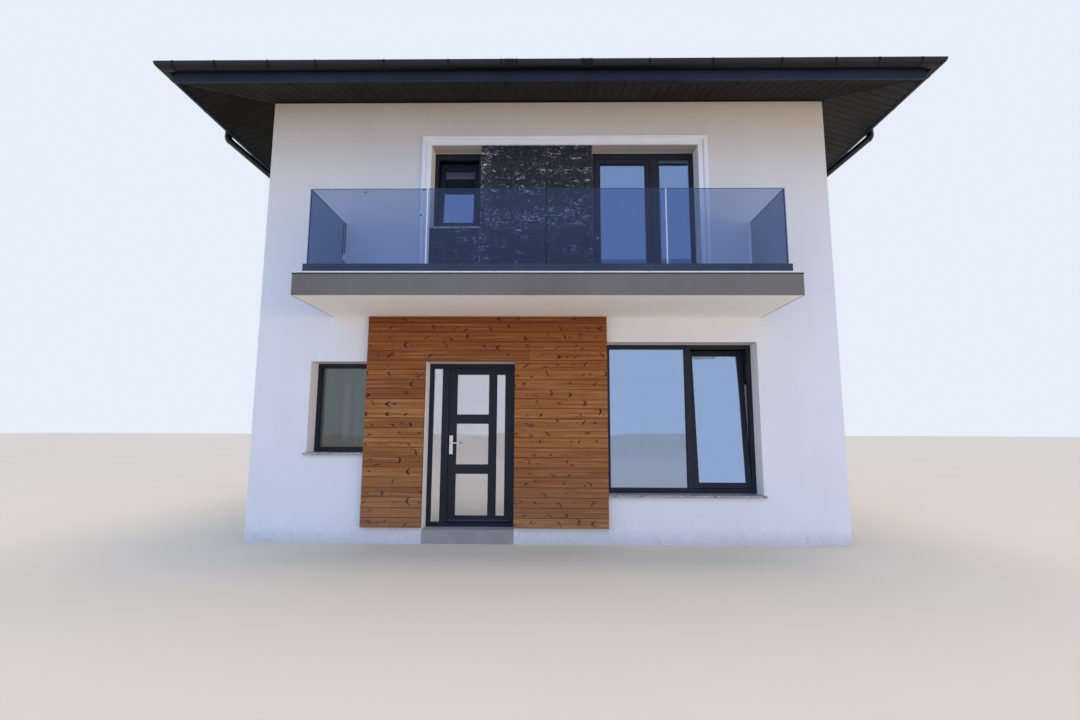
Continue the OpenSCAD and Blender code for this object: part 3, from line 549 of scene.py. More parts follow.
def stoneFinish():  # black stone with fine white veins and chalky patches
    f = Finish("black_stone")
    v = veins
    sway = f.noise(f.spread(1.0, 1.0, 2.0), 3.0, 4.0, 0.6)

    def near(place, at, close, far):  # 1 close to a place, 0 far from it
        return 1.0 - f.fade(abs(place - at), close, far)

    band = near(f.z + (sway - 0.5) * 0.4, v["band"], 0.03, 0.20)
    edge = near(f.x, slabs["pier"] + 0.024, 0.02, 0.16)
    streaks = near(f.z + (sway - 0.5) * 0.3, v["streaks"], 0.02, 0.12)
    cluster = f.fade(f.noise(f.spread(1.0, 1.0, 2.6), 2.6, 2.0, 0.5), 0.50, 0.60)
    upper = f.fade(f.z, v["busyFrom"], v["busyTo"])
    busy = 0.20 + cluster * 0.30 + upper * 0.35 + band * 0.6 + edge * 0.35 + streaks * 0.12

    def hairs(scale, squash, thin, low, high):  # thin wavy lines, broken into short lengths
        wave = f.noise(f.spread(1.0, 1.0, squash), scale, 3.0, 0.58, 0.7)
        piece = f.noise(f.spread(1.0, 1.0, squash * 0.6), scale * 1.2, 2.0, 0.6)
        return near(wave, 0.5, thin * 0.2, thin) * f.fade(piece, low, high)

    bold = hairs(3.4, 3.0, 0.007, 0.54, 0.57)
    fine = hairs(8.0, 2.4, 0.011, 0.565, 0.60)
    tiny = hairs(17.0, 1.4, 0.024, 0.57, 0.62)
    flecks = f.fade(f.noise(f.spread(1.0, 1.0, 0.4), 75.0, 2.0, 0.6), 0.58, 0.72)
    chalk = f.fade(f.noise(f.spread(2.0, 2.0, 5.0), 11.0, 5.0, 0.75), 0.545, 0.62)
    streak = f.noise(f.spread(3.0, 3.0, 40.0), 1.0, 3.0)
    # pale lines along both side edges of the slabs, broken along their length
    sides = near(f.x, slabs["pier"], 0.002, 0.005) + near(f.x, slabs["right"], 0.002, 0.005)
    sideBreaks = f.fade(f.noise(f.spread(1.0, 1.0, 14.0), 1.0, 3.0), 0.40, 0.60)
    tone = f.coats(
        v["ground"],
        (v["sheen"], f.fade(sway * 0.5 + streak * 0.5, 0.35, 0.65)),
        ((84, 84, 92), flecks * (0.4 + f.fade(f.z, 4.1, 4.4) * 0.5)),
        ((150, 150, 154), tiny * busy * 0.5),
        ((220, 220, 224), fine * busy * 1.2),
        (v["white"], bold * busy * 1.6),
        (v["chalk"], chalk * (band * 0.9 + edge * 0.6)),
        (v["paleSides"], sides * sideBreaks * 0.8),
    )
    relief = f.noise(f.spread(1.0, 1.0, 2.0), 40.0, 5.0, 0.65)
    return f.plain(tone, 0.42 + chalk * 0.3, relief, 0.002, gloss=0.3)


boards = {
    "foot": 0.205, "pitch": 0.125, "rows": 22, "head": 2.914, "thick": 0.065,
    "joint": 0.0042, "jointDepth": 0.008, "groove": 0.0022, "grooveDepth": 0.0012, "ease": 0.0012,
    "lip": 0.0015, "gap": 0.001,
    "left": -2.345, "doorLeft": -1.580, "doorRight": -0.405, "right": 0.793, "doorHead": 2.320,
    "cutRow": 17, "cutAt": -0.22, "doorMiddle": -1.0, "back": -0.003,
}


def larchFinish():  # oiled boards with rings, feathered knots and dark dots
    f = Finish("larch_boards")
    level = (f.z - boards["foot"]) / boards["pitch"]
    row = level.floor()
    across = (level - row - 0.5) * boards["pitch"]
    upper = row > boards["cutRow"] - 0.5
    cut = abs(row - boards["cutRow"]) < 0.5
    side = (f.x > boards["doorMiddle"]) * (1.0 - upper) + (f.x > boards["cutAt"]) * cut
    seed = row * 3.71 + side * 19.3
    tone = f.chance(seed)
    pith = f.chance(seed + 5.13)
    bend = f.noise(f.join(f.x * 0.9 + seed * 2.3, across * 6.0, seed), 1.6, 3.0) - 0.5
    bendy = f.noise(f.place, 45.0, 2.0) - 0.5

    def knots(width, shift, turn):  # one place for a knot in each cell along a board
        cell = (f.x + row * shift + tone * 0.21) / width
        number = cell.floor()
        flat = {"noise_dimensions": "2D"}
        dice = f.add("ShaderNodeTexWhiteNoise", flat, {"Vector": f.join(number + turn, row, 0.0)}, "Color")
        first, second, third = f.split(dice)
        fourth = f.chance(number * 1.37 + row * 7.7 + turn)
        along = (cell - number - 0.5) * width - (first - 0.5) * width * 0.5
        up = across - (second - 0.5) * 0.066
        return along, up, first, second, third, fourth

    def within(distance, close, far):  # 1 inside close, 0 outside far
        return 1.0 - f.fade(distance, close, far)

    # feathered knots: a bent stroke, or two that meet in an arrow
    along, up, first, second, third, fourth = knots(0.25, 0.173, 0.0)
    knotted = third > 0.44
    paired = fourth > 0.72
    rise = abs(up) * paired + up * (1.0 - paired)
    lean = along * (1.0 - (first > 0.5) * 2.0)
    angle = 0.30 + second * 0.85
    flat, steep = angle.work("COSINE", angle), angle.work("SINE", angle)
    long = lean * flat + rise * steep - paired * 0.024
    reachLong = 0.018 + (third - 0.44) * 0.084
    thin = rise * flat - lean * steep + long * long * (1.0 + first * 8.0) + bendy * 0.009
    thick = (0.0060 + fourth * 0.0070) * (1.0 - long / reachLong * 0.5)
    feather = within(((thin / thick) ** 2.0 + (long / reachLong) ** 2.0) ** 0.5, 0.7, 1.0) * knotted
    smoke = within(((thin / 0.011) ** 2.0 + (long / 0.04) ** 2.0) ** 0.5, 0.2, 1.0) * knotted

    # small round knots
    along, up, _, _, third, fourth = knots(0.31, 0.117, 43.0)
    away = (along * along + up * up * 1.7) ** 0.5 + bendy * 0.003
    size = 0.005 + fourth * 0.007
    dot = within(away / size, 0.55, 1.0) * (third < 0.6)
    halo = within(away / size, 0.8, 3.0) * (third < 0.6)

    # growth rings, drawn aside round the knots
    pull = within(away, 0.0, 0.05) * 0.012 + smoke * 0.006
    depth = 0.010 + f.noise(f.join(f.x * 0.55 + seed * 4.0, 0.0, seed), 1.0, 1.0) * 0.05
    lift = across + (pith - 0.5) * 0.11 + bend * 0.012 + pull
    late = ((lift * lift + depth * depth) ** 0.5 * 190.0).fract() ** 2.0
    fibre = f.noise(f.join(f.x * 7.0 + seed, f.y * 300.0, f.z * 330.0), 1.0, 3.0, 0.6)
    patch = f.noise(f.join(f.x * 1.1 + seed * 3.0, 0.0, across * 34.0 + seed), 1.0, 3.0)

    pale = f.mix((196, 130, 66), (158, 96, 46), tone)
    deep = f.mix((116, 64, 26), (100, 52, 20), pith)
    colour = f.coats(
        pale,
        (deep, late * 0.6 + f.fade(fibre, 0.35, 0.7) * 0.3),
        ((122, 60, 30), f.fade(patch, 0.50, 0.68) * 0.7),
        ((200, 146, 94), within(patch, 0.30, 0.46) * 0.6),
        ((92, 36, 22), halo * 0.75),
        ((100, 52, 26), smoke * 0.5),
        ((38, 17, 9), dot * 0.9),
        ((30, 13, 7), feather),
        ((146, 122, 104), within(f.z, 0.2, 1.1) * f.fade(fibre, 0.35, 0.7) * 0.5),
    )
    shadeUnderBalcony = f.fade(f.z, 1.7, 2.7) * 0.9  # painted shade: boards under the balcony darker
    colour = f.mix(colour, (234, 208, 178), shadeUnderBalcony, "MULTIPLY")
    colour = f.coats(
        colour,
        ((156, 138, 128), 0.09),
        # painted shade: a darker band along the top boards under the balcony slab
        ((80, 44, 22), f.fade(f.z, 2.80, 2.84) * 0.3),
        ((74, 38, 20), within(abs(across), 0.0024, 0.0046) * 0.3),
        ((46, 22, 12), f.fade(abs(across), 0.0575, 0.0615) * 0.75),
    )
    relief = fibre * 0.6 + late * 0.5 - (feather + dot) * 0.5
    return f.plain(colour, 0.7 + fibre * 0.2, relief, 0.0007, gloss=0.08)


def roofFinish():
    f = Finish("roof_metal")
    grain = f.noise(f.place, 700.0, 3.0, 0.7)
    cloud = f.noise(f.place, 0.9, 4.0)
    dust = f.fade(f.noise(f.spread(1.0, 1.0, 4.0), 6.0, 5.0, 0.7), 0.5, 0.75)
    tone = f.mix((40, 42, 46), (50, 52, 57), cloud)
    tone = f.mix(tone, (112, 110, 106), dust * 0.10)
    return f.plain(tone, 0.5 + dust * 0.15, grain, 0.00025)


def paneFinish(name, through, mirror, share, haze=0.0):  # clear glass under an even reflection; the mirror colour tints that reflection, a painted reflection colour
    f = Finish(name)
    ripple = f.noise(f.place, 0.9, 2.0)
    clear = f.add("ShaderNodeBsdfTransparent", None, {"Color": through})
    relief = f.bump(ripple, 0.004)
    shine = f.skin({"Base Color": mirror, "Metallic": 1.0, "Roughness": 0.02, "Normal": relief})
    glass = f.add("ShaderNodeMixShader", None, {0: share, 1: clear, 2: shine})
    if haze:  # a thin film of dust
        film = f.skin({"Base Color": paint(178, 190, 186), "Roughness": 0.8})
        glass = f.add("ShaderNodeMixShader", None, {0: haze, 1: glass, 2: film})
    return f.done(glass)


def glassEdgeFinish(name, pale, dark, glow=0.0):  # a cut edge of glass in a given tone; glow makes it glow, painted light that stands for light gathered inside the pane
    f = Finish(name)
    cloud = f.noise(f.place, 30.0, 2.0)
    tone = f.mix(pale, dark, cloud)
    return f.done(f.skin({"Base Color": tone, "Roughness": 0.15 + cloud * 0.1, "Emission Color": tone,
                          "Emission Strength": glow}))


wallRender = renderFinish("white_render", (234, 234, 236), (230, 230, 232), dirtAndLight=0.35)
# painted light: a warm copy of the white render for the balcony's underside, lit warm from below
warmLitRender = renderFinish("cream_render", (254, 249, 241), (250, 243, 234), 0.0006)
greyRender = renderFinish("grey_render", (119, 114, 109), (109, 104, 99), 0.0011)
surroundPaint = renderFinish("surround_paint", (248, 247, 245), (241, 240, 238), 0.0004)
concrete = concreteFinish("concrete", (176, 174, 170), (150, 148, 144))
screed = concreteFinish("floor_screed", (168, 163, 154), (146, 141, 132))
frameFoil = powderFinish("frame_anthracite", (38, 41, 54), (33, 36, 48))
doorFoil = powderFinish("door_anthracite", (34, 37, 51), (29, 32, 45), 0.38)
# anthracite with a blue tint that is partly a painted sky reflection
channelMetal = powderFinish("anthracite_aluminium", (52, 62, 84), (46, 55, 75), 0.36)
soffitMetal = powderFinish("soffit_metal", (31, 29, 27), (25, 24, 22), 0.5, gloss=0.1)
# painted light: a lighter, glossier copy of the soffit metal for the right side
litSoffitCopy = powderFinish("soffit_metal_right_painted_light", (38, 36, 37), (31, 30, 31), 0.5, gloss=0.3)
fasciaMetal = powderFinish("fascia_metal", (46, 56, 74), (41, 50, 67), 0.4, gloss=0.15)
gutterMetal = powderFinish("gutter_metal", (20, 24, 25), (16, 20, 21), 0.2, gloss=0.3)
# painted shade on the gutter run's underside
runMetal = powderFinish("gutter_run_metal", (33, 34, 39), (27, 29, 33), 0.36, 0.00004, 0.3,
                        shadeBelow=(house["gutterRim"] - 0.066, house["gutterRim"] - 0.030))
strapMetal = powderFinish("strap_metal", (13, 16, 17), (10, 12, 13), 0.3, gloss=0.2)
steel = steelFinish()
rubber = rubberFinish()
granite = graniteFinish()
tile = tileFinish()
grout = groutFinish()
stone = stoneFinish()
larch = larchFinish()
roofMetal = roofFinish()
# painted highlight and glow: near-white, glowing edges on the railing panes
glowingGlassEdge = glassEdgeFinish("glass_edge", (222, 222, 232), (240, 238, 246), 0.3)
topEdge = glassEdgeFinish("glass_edge_top", (84, 98, 120), (100, 114, 138))
darkEdge = glassEdgeFinish("glass_edge_dark", (30, 36, 48), (38, 46, 60))
# the mirror colours are painted reflection colours: sky blue on the railing, sash and upper panes
railGlass = paneFinish("railing_glass", (0.67, 0.72, 0.825, 1.0), (0.36, 0.46, 0.80, 1.0), 0.05)
# painted shade: a darker copy of the railing glass for the side panels
shadedSideGlass = paneFinish("railing_side_glass", (0.575, 0.625, 0.69, 1.0), (0.40, 0.48, 0.70, 1.0), 0.05)
lowerGlass = paneFinish("lower_window_glass", (0.80, 0.82, 0.82, 1.0), (0.60, 0.64, 0.62, 1.0), 0.115)
sashGlass = paneFinish("sash_glass", (0.74, 0.78, 0.82, 1.0), (0.59, 0.74, 1.0, 1.0), 0.485)
upperGlass = paneFinish("upper_window_glass", (0.74, 0.78, 0.82, 1.0), (0.41, 0.57, 0.95, 1.0), 0.38, 0.03)
doorLight = paneFinish("door_light_glass", (0.80, 0.82, 0.84, 1.0), (0.97, 0.95, 0.98, 1.0), 0.46)
spacer = powderFinish("glass_spacer", (60, 61, 63), (50, 51, 53), 0.5)
print("finishes made")


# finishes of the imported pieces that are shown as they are

dress(["front_wall_left", "front_wall_right", "front_wall_over_door", "front_wall_upper",
       "back_wall", "left_wall", "right_wall", "ring_beam"], wallRender)
dress(["ceiling_slab", "ground_floor_slab"], concrete)
dress(["upper_floor_slab"], screed)
# the balcony slab takes the warm copy of the render, painted light
dress(["balcony_slab"], warmLitRender)
dress(["balcony_edge_band"], greyRender, 0.003)
dress(["balcony_drip_edge"], gutterMetal, 0.001)
dress(["railing_channel"], channelMetal, 0.0015)
dress(["ground_window_frames", "upper_window_frames", "window_sashes", "side_windows", "back_windows"],
      frameFoil, 0.003)
dress(["door_frame", "door_leaf"], doorFoil, 0.002)
dress(["door_plates"], steel, 0.0012)
dress(["door_lever"], steel)
dress(["window_sills"], granite, 0.004)
dress(["fascia"], fasciaMetal, 0.002)
dress(["downpipes"], gutterMetal)


# wall boards round the entrance

def boardOutline(z0, z1):  # open joints at both edges and a groove along the middle
    b = boards
    face, deep, low = -b["thick"], b["jointDepth"] - b["thick"], b["grooveDepth"] - b["thick"]
    j, g, ease, lip, mid = b["joint"], b["groove"], b["ease"], b["lip"], z0 + b["pitch"] / 2
    return [(b["back"], z0), (deep, z0), (deep, z0 + lip), (face + ease, z0 + j - ease), (face, z0 + j),
            (face, mid - g), (low, mid - g * 0.4), (low, mid + g * 0.4), (face, mid + g), (face, z1 - j),
            (face + ease, z1 - j + ease), (deep, z1 - lip), (deep, z1), (b["back"], z1)]


def layBoards():
    b = boards
    left, right, over = Shape(), Shape(), Shape()
    for row in range(b["rows"]):
        z0 = b["foot"] + row * b["pitch"]
        outline = boardOutline(z0, min(z0 + b["pitch"], b["head"]))
        if row < b["cutRow"]:
            left.bar(outline, b["left"], b["doorLeft"], onFront)
            right.bar(outline, b["doorRight"], b["right"], onFront)
        elif row == b["cutRow"]:  # the row made of two boards
            over.bar(outline, b["left"], b["cutAt"] - b["gap"], onFront)
            over.bar(outline, b["cutAt"] + b["gap"], b["right"], onFront)
        else:
            over.bar(outline, b["left"], b["right"], onFront)
    last = b["foot"] + b["cutRow"] * b["pitch"] - b["gap"] / 2
    over.box((b["doorLeft"], b["gap"] - b["thick"], b["doorHead"]), (b["doorRight"], b["back"], last),
             place=onFront)  # batten over the door
    for name, shape, node in (("left", left, "left"), ("right", right, "right"), ("over", over, "over_door")):
        instead = ["wood_cladding_" + node]
        makePiece("wall_boards_" + name, shape, [larch], slot="larch_boards", instead=instead)


layBoards()
print("wall boards laid")


# stone slabs between the upper openings

def laySlabs():
    s = slabs
    g, ease = s["gap"] / 2, s["ease"]
    outline = [(s["left"], s["foot"]), (s["joint"] - g, s["foot"]), (s["joint"] - g, s["head"]),
               (s["pier"], s["head"]), (s["pier"], s["sill"]), (s["left"], s["sill"])]
    signs = [(1, 1), (-1, 1), (-1, -1), (1, -1), (1, -1), (1, -1)]
    rings = [[(x, s["back"], z) for x, z in outline],
             [(x, s["front"] + ease, z) for x, z in outline],
             [(x + sx * ease, s["front"], z + sz * ease) for (x, z), (sx, sz) in zip(outline, signs)]]
    shape = Shape()
    shape.loft(rings, place=onFront)
    low, high = (s["joint"] + g, s["front"], s["foot"]), (s["right"], s["back"], s["head"])
    shape.box(low, high, ease, place=onFront)
    makePiece("stone_slabs", shape, [stone], slot="black_stone", instead=["stone_cladding"])


laySlabs()


# moulded surround of the upper group

surround = {
    "left": -1.594, "right": 2.085, "foot": 3.189, "head": 5.349,
    "outline": [(0.000, 0.000), (0.000, 0.017), (0.003, 0.020), (0.058, 0.020), (0.062, 0.017),
                (0.066, 0.011), (0.070, 0.009), (0.075, 0.009), (0.075, 0.030), (0.080, 0.035),
                (0.094, 0.035), (0.0965, 0.0315), (0.0995, 0.0315), (0.102, 0.035), (0.124, 0.035),
                (0.129, 0.030), (0.129, 0.000)],  # out from the opening, proud of the wall
}
shape = Shape()
shape.ring((surround["left"], surround["right"], surround["foot"], surround["head"]),
           [(-out, -proud) for out, proud in surround["outline"]], place=onFront, sides=3)
makePiece("surround_moulding", shape, [surroundPaint], slot="white_render", instead=["window_surround"])
print("slabs and surround made")


# beads and seals round each pane

beads = {
    "bead": [(-0.0005, 0.0), (-0.0005, 0.013), (0.001, 0.0150), (0.003, 0.0145), (0.0065, 0.006),
             (0.0065, 0.0)],
    "seal": [(0.006, 0.0), (0.006, 0.0030), (0.0075, 0.0034), (0.009, 0.0020), (0.0094, 0.0)],
    "inner": [(-0.0005, 0.0), (-0.0005, 0.010), (0.002, 0.012), (0.008, 0.004), (0.008, 0.0)],
}
glazing = {"sheet": 0.004, "spacer": 0.0085, "spacerInset": 0.001, "ease": 0.0006}
lowerPane, sashPane, upperPane, doorPane, spacerRim = range(5)
paneFinishes = [lowerGlass, sashGlass, upperGlass, doorLight, spacer]


def panes(node, out):  # each pane's corners, its middle and the way it faces
    for pane in islands(node):
        middle = sum(pane, Vector()) / len(pane)
        yield pane, middle, Vector(out or outward[nearestWall(middle)])


def paneBeads(name, node, out, finish, body="house"):
    shape = Shape()
    for pane, _, direction in panes(node, out):
        for way, rim, mark in ((1, "bead", 0), (1, "seal", 1), (-1, "inner", 0)):
            width, height, place = facing(pane, direction * way)
            shape.ring((0, width, 0, height), beads[rim], mark, place)
    makePiece(name, shape, [finish, rubber], body)


def glazePanes(name, node, out, finishFor, body="house"):  # two sheets with a spacer between them
    t, inset, w, ease = [glazing[key] for key in ("sheet", "spacerInset", "spacer", "ease")]
    shape = Shape()
    for pane, middle, direction in panes(node, out):
        width, height, place = facing(pane, direction)
        front = Vector(place(0, 0, 0))
        thick = max((front - p).dot(direction) for p in pane if abs(p.z - front.z) < 0.03)
        mark = finishFor(middle)
        shape.box((0, -t, 0), (width, 0, height), ease, mark, place)
        shape.box((0, -thick, 0), (width, t - thick, height), ease, mark, place)
        rim = [(inset, -t), (w, -t), (w, t - thick), (inset, t - thick)]
        shape.ring((0, width, 0, height), rim, spacerRim, place)
    makePiece(name, shape, paneFinishes, body, "window_glass", [node])


def frontPane(point):  # the sidelight of the door stands between the two windows
    if point.z > 3:
        return upperPane
    if point.x > -1:
        return sashPane
    return doorPane if point.x > -2 else lowerPane


def otherPane(point):
    return upperPane if point.z > 3 else lowerPane


glazePanes("front_panes", "front_glass", outward["front"], frontPane)
glazePanes("side_and_back_panes", "side_and_back_glass", None, otherPane)
glazePanes("door_light_panes", "door_glass", outward["front"], lambda point: doorPane, "entrance_door")
paneBeads("front_window_beads", "front_glass", outward["front"], frameFoil)
paneBeads("side_window_beads", "side_and_back_glass", None, frameFoil)
paneBeads("door_light_beads", "door_glass", outward["front"], doorFoil, "entrance_door")


# thin plaster beads where the reveals meet the frames

frameDepth = 0.222
openings = [(-3.106, -2.345, 1.131, 2.318), (0.793, 2.768, 0.615, 2.586), (-1.594, -0.904, 4.165, 5.349),
            (0.629, 2.085, 3.189, 5.349), (-1.580, -0.405, 0.172, 2.320)]
plasterBead = [(-0.0005, frameDepth - 0.007), (0.002, frameDepth - 0.007), (0.003, frameDepth - 0.006),
               (0.003, frameDepth + 0.001), (-0.0005, frameDepth + 0.001)]
shape = Shape()
for rect in openings:
    shape.ring(rect, plasterBead, place=onFront, sides=3)
makePiece("reveal_beads", shape, [surroundPaint], slot="white_render")
print("beads made")


# balcony: tiles, railing glass, seals and end profiles

balcony = {
    "half": 2.845, "front": -5.9, "wall": -4.7, "foot": 3.167, "top": 3.189, "setBack": 0.004,
    "across": 10, "rows": 4, "joint": 0.003, "grout": 0.004, "bed": 0.004, "inset": 0.001, "ease": 0.0012,
}


def layTiles():
    b = balcony
    x0, x1 = -b["half"] + b["setBack"], b["half"] - b["setBack"]
    y0, y1 = b["front"] + b["setBack"], b["wall"]
    inset = b["inset"]
    shape = Shape()
    shape.box((x0 + inset, y0 + inset, b["foot"]), (x1 - inset, y1, b["top"] - b["grout"]), inset / 2, mark=1)
    stepX, stepY = (x1 - x0 + b["joint"]) / b["across"], (y1 - y0 + b["joint"]) / b["rows"]
    for i in range(b["across"]):
        for k in range(b["rows"]):
            low = (x0 + i * stepX, y0 + k * stepY, b["foot"] + b["bed"])
            high = (low[0] + stepX - b["joint"], low[1] + stepY - b["joint"], b["top"])
            shape.box(low, high, b["ease"])
    makePiece("balcony_tiles", shape, [tile, grout], slot="white_tile", instead=["balcony_floor"])


layTiles()

rail = {
    "glassY": -5.770, "glassX": 2.758, "thick": 0.016, "channelTop": 3.307, "seal": 0.0045,
    "ease": 0.0012, "edge": 0.002, "seam": 0.006, "frontEnd": 2.738, "sideStart": -5.745, "sideEnd": -4.71,
    "profileY": (-4.726, -4.7005), "profileZ": ((3.307, 3.700), (3.780, 4.219)), "profileWall": 0.0042,
    "profileBack": -4.707, "profileReach": 0.005, "profileLap": 0.004,
    "spots": [(-2.108, 4.172), (-1.425, 4.199), (-1.453, 3.892)],
    "spot": [(0.0105, 0.0), (0.0098, 0.0012), (0.0070, 0.0020), (0.0, 0.0022)],
}


def glassPanels():
    shape = Shape()
    front, edge, side, dark, top = range(5)
    for pane in islands("railing_glass"):
        low, high = [[pick(p[i] for p in pane) for i in range(3)] for pick in (min, max)]
        base = len(shape.faces)
        shape.box(low, high, rail["ease"])
        thin = min(range(3), key=lambda i: high[i] - low[i])
        for face in range(base, len(shape.faces)):
            points = [shape.points[i] for i in shape.faces[face]]
            flat = max(p[thin] for p in points) - min(p[thin] for p in points) < 1e-6 and len(points) == 4
            corner = thin == 0 and max(p[1] for p in points) < low[1] + rail["edge"]
            seam = thin == 1 and max(abs(p[0]) for p in points) < rail["seam"]
            if flat:
                mark = front if thin == 1 else side
            elif min(p[2] for p in points) > high[2] - rail["edge"]:
                mark = top
            else:
                mark = dark if corner or seam else edge
            shape.marks[face] = mark
    finishes = [railGlass, glowingGlassEdge, shadedSideGlass, darkEdge, topEdge]
    makePiece("railing_panels", shape, finishes, slot="railing_glass", instead=["railing_glass"])


glassPanels()


def sealRun(shape, start, end, face, way, along):  # lips on both faces of the glass, run along x or y
    seal, foot = rail["seal"], rail["channelTop"]
    outline = [(0.0, -0.012), (0.0, 0.002), (seal * 0.5, 0.004), (seal, 0.001), (seal, -0.012)]
    for depth, sign in ((face, -way), (face + rail["thick"] * way, way)):
        section = [(depth + sign * d, foot + h) for d, h in outline]
        shape.loft([[(t, d, h) if along == "x" else (d, t, h) for d, h in section] for t in (start, end)])


def railSeals():
    r = rail
    shape = Shape()
    sealRun(shape, -r["frontEnd"], r["frontEnd"], r["glassY"], 1, "x")
    for sx in (1, -1):
        sealRun(shape, r["sideStart"], r["sideEnd"], sx * r["glassX"], -sx, "y")
    for x, z in r["spots"]:  # small dark spots on the outside of the glass
        shape.turn(r["spot"], (x, r["glassY"], z), (0, -1, 0), 16)
    makePiece("railing_seals", shape, [rubber])
    shape = Shape()  # dark profile that holds the left pane at the wall
    x0, x1 = -r["glassX"] - r["profileReach"], -r["glassX"] + r["thick"] + r["profileReach"]
    y0, y1 = r["profileY"]
    wall, lap = r["profileWall"], r["profileLap"]
    for z0, z1 in r["profileZ"]:
        shape.box((x0, y0, z0), (x0 + wall, y1, z1))
        shape.box((x1 - wall, y0, z0), (x1, y1, z1))
        shape.box((x0 + lap, r["profileBack"], z0), (x1 - lap, y1, z1))
    makePiece("railing_wall_profiles", shape, [channelMetal], slot="anthracite_aluminium")


railSeals()
print("balcony dressed")


# entrance door: weather bar, lock cylinder and screw caps

door = {"barLeft": -1.300, "barRight": -0.478, "barFoot": 0.240, "face": -4.455, "plateFace": -4.463,
        "axisX": -1.269, "cylinder": 1.166, "screws": (1.125, 1.333)}
balconyLock = (0.716, -4.472, 4.094)  # the middle of its face


def lockCylinder(shape, centre):
    shape.turn([(0.0120, 0.0), (0.0120, 0.0022), (0.0108, 0.0036), (0.0092, 0.0036), (0.0090, 0.0030),
                (0.0088, 0.0052), (0.0080, 0.0060), (0.0, 0.0060)], centre, (0, -1, 0), 32)
    x, y, z = centre
    shape.box((x - 0.0011, y - 0.0066, z - 0.0045), (x + 0.0011, y - 0.0055, z + 0.0045), 0.0002, mark=1)


def doorParts():
    d = door
    bar = Shape()
    outline = [(0.0, 0.0), (-0.014, 0.0), (-0.016, 0.003), (-0.015, 0.006), (-0.004, 0.020), (0.0, 0.022)]
    outline = [(d["face"] + depth, d["barFoot"] + height) for depth, height in outline]
    bar.bar(outline, d["barLeft"], d["barRight"])
    makePiece("door_weather_bar", bar, [channelMetal], "entrance_door", "anthracite_aluminium")
    lock = Shape()
    lockCylinder(lock, (d["axisX"], d["plateFace"], d["cylinder"]))
    for height in d["screws"]:
        lock.turn([(0.0048, 0.0), (0.0048, 0.0008), (0.0040, 0.0016), (0.0, 0.0019)],
                  (d["axisX"], d["plateFace"], height), (0, -1, 0), 20)
    makePiece("door_lock", lock, [steel, rubber], "entrance_door", "satin_steel")
    lock = Shape()
    lockCylinder(lock, balconyLock)
    makePiece("balcony_door_lock", lock, [steel, rubber], slot="satin_steel")


doorParts()
print("door dressed")


# eaves: boarded soffit, gutters and fascia folds

eaves = {
    "pitch": 0.1185, "joint": 0.0035, "deep": 0.009, "thick": 0.006, "run": 0.815, "narrowest": 0.012,
    "ease": 0.0018, "stripEnds": (0.004, 0.813),
    "trim": [(-0.0005, 0.004), (-0.0005, -0.012), (0.0015, -0.014), (0.016, -0.010), (0.018, -0.007),
             (0.018, 0.004)],
    "strip": [(-0.017, 0.002), (-0.017, -0.002), (-0.014, -0.004), (0.014, -0.004), (0.017, -0.002),
              (0.017, 0.002)],
}


def soffitPlace(wall, s, out, lift):  # along the wall, out from it, up from the soffit's face
    return walls[wall](s, -out, house["soffitTop"] - out * house["fall"] + lift)


def boardSoffit():
    j, d, thick, run, ease = [eaves[key] for key in ("joint", "deep", "thick", "run", "ease")]
    for wall, half in wallHalf.items():
        shape = Shape()
        count = round(2 * half / eaves["pitch"])
        step = 2 * half / count
        extra = math.ceil(run / step)
        for k in range(-extra, count + extra):
            s0, s1 = max(-half + k * step, -half - run), min(-half + (k + 1) * step, half + run)
            if s1 - s0 < eaves["narrowest"]:
                continue
            outline = [(s0, d), (s0 + j, d), (s0 + j, ease), (s0 + j + ease, 0.0), (s1 - j - ease, 0.0),
                       (s1 - j, ease), (s1 - j, d), (s1, d), (s1, d + thick), (s0, d + thick)]
            near = [min(max(0.0, abs(s) - half), run - 0.001) for s, _ in outline]  # cut along the mitre
            shape.loft([[soffitPlace(wall, s, out, lift) for out, (s, lift) in zip(outs, outline)]
                        for outs in (near, [run] * len(outline))])
        instead = ["soffit"] if wall == "front" else []
        # the right soffit takes the lighter copy, painted light
        finish = litSoffitCopy if wall == "right" else soffitMetal
        makePiece("soffit_boards_" + wall, shape, [finish], slot="soffit_metal", instead=instead)


def trimSoffit():
    trims = Shape()
    for wall, half in wallHalf.items():  # edge trim against the wall
        trims.loft([[soffitPlace(wall, side * (half + out), out, lift) for out, lift in eaves["trim"]]
                    for side in (-1, 1)])
    for sx, sy in itertools.product((-1, 1), repeat=2):  # cover strips on the mitres
        side = Vector((sx, -sy, 0)).normalized()
        rings = []
        for out in eaves["stripEnds"]:
            level = house["soffitTop"] - out * house["fall"]
            centre = Vector((sx * (halfWidth + out), sy * (halfDepth + out), level))
            rings.append([centre + side * a + Vector((0, 0, h)) for a, h in eaves["strip"]])
        trims.loft(rings)
    makePiece("soffit_trims", trims, [strapMetal], slot="soffit_metal")


boardSoffit()
trimSoffit()


def onPlan(a, depth, b):  # a ring laid level: rectangle in plan, depth as height
    return (a, b, depth)


gutter = {
    "outerX": 4.838, "outerY": 5.703, "centre": 0.082, "outside": 0.0772, "inside": 0.0750, "lip": 0.010,
    "bead": 0.0092, "beadInset": 0.0030, "beadLift": 0.001,
    "frontStraps": (-4.60, -4.08, -3.42, -2.83, -1.99, -1.20, -0.55, -0.37, 0.43, 0.55, 1.25, 2.02, 2.85,
                    3.50, 4.02, 4.53),
    "strapWidth": 0.030, "strapThick": 0.0036, "strapStep": 0.66, "strapReach": 0.70, "strapBite": 0.0005,
    "connectors": (-0.46, 0.49), "connectorWidth": 0.105, "connectorThick": 0.0044, "tongueStep": 0.038,
    "tongueWidth": 0.018,
    "tongue": [(0.0815, -0.004), (0.0815, 0.0085), (0.0775, 0.0118), (0.066, 0.0118), (0.062, 0.0085),
               (0.062, 0.004)],
}


def arc(radius, angles):
    return [(radius * math.cos(a), -radius * math.sin(a)) for a in angles]


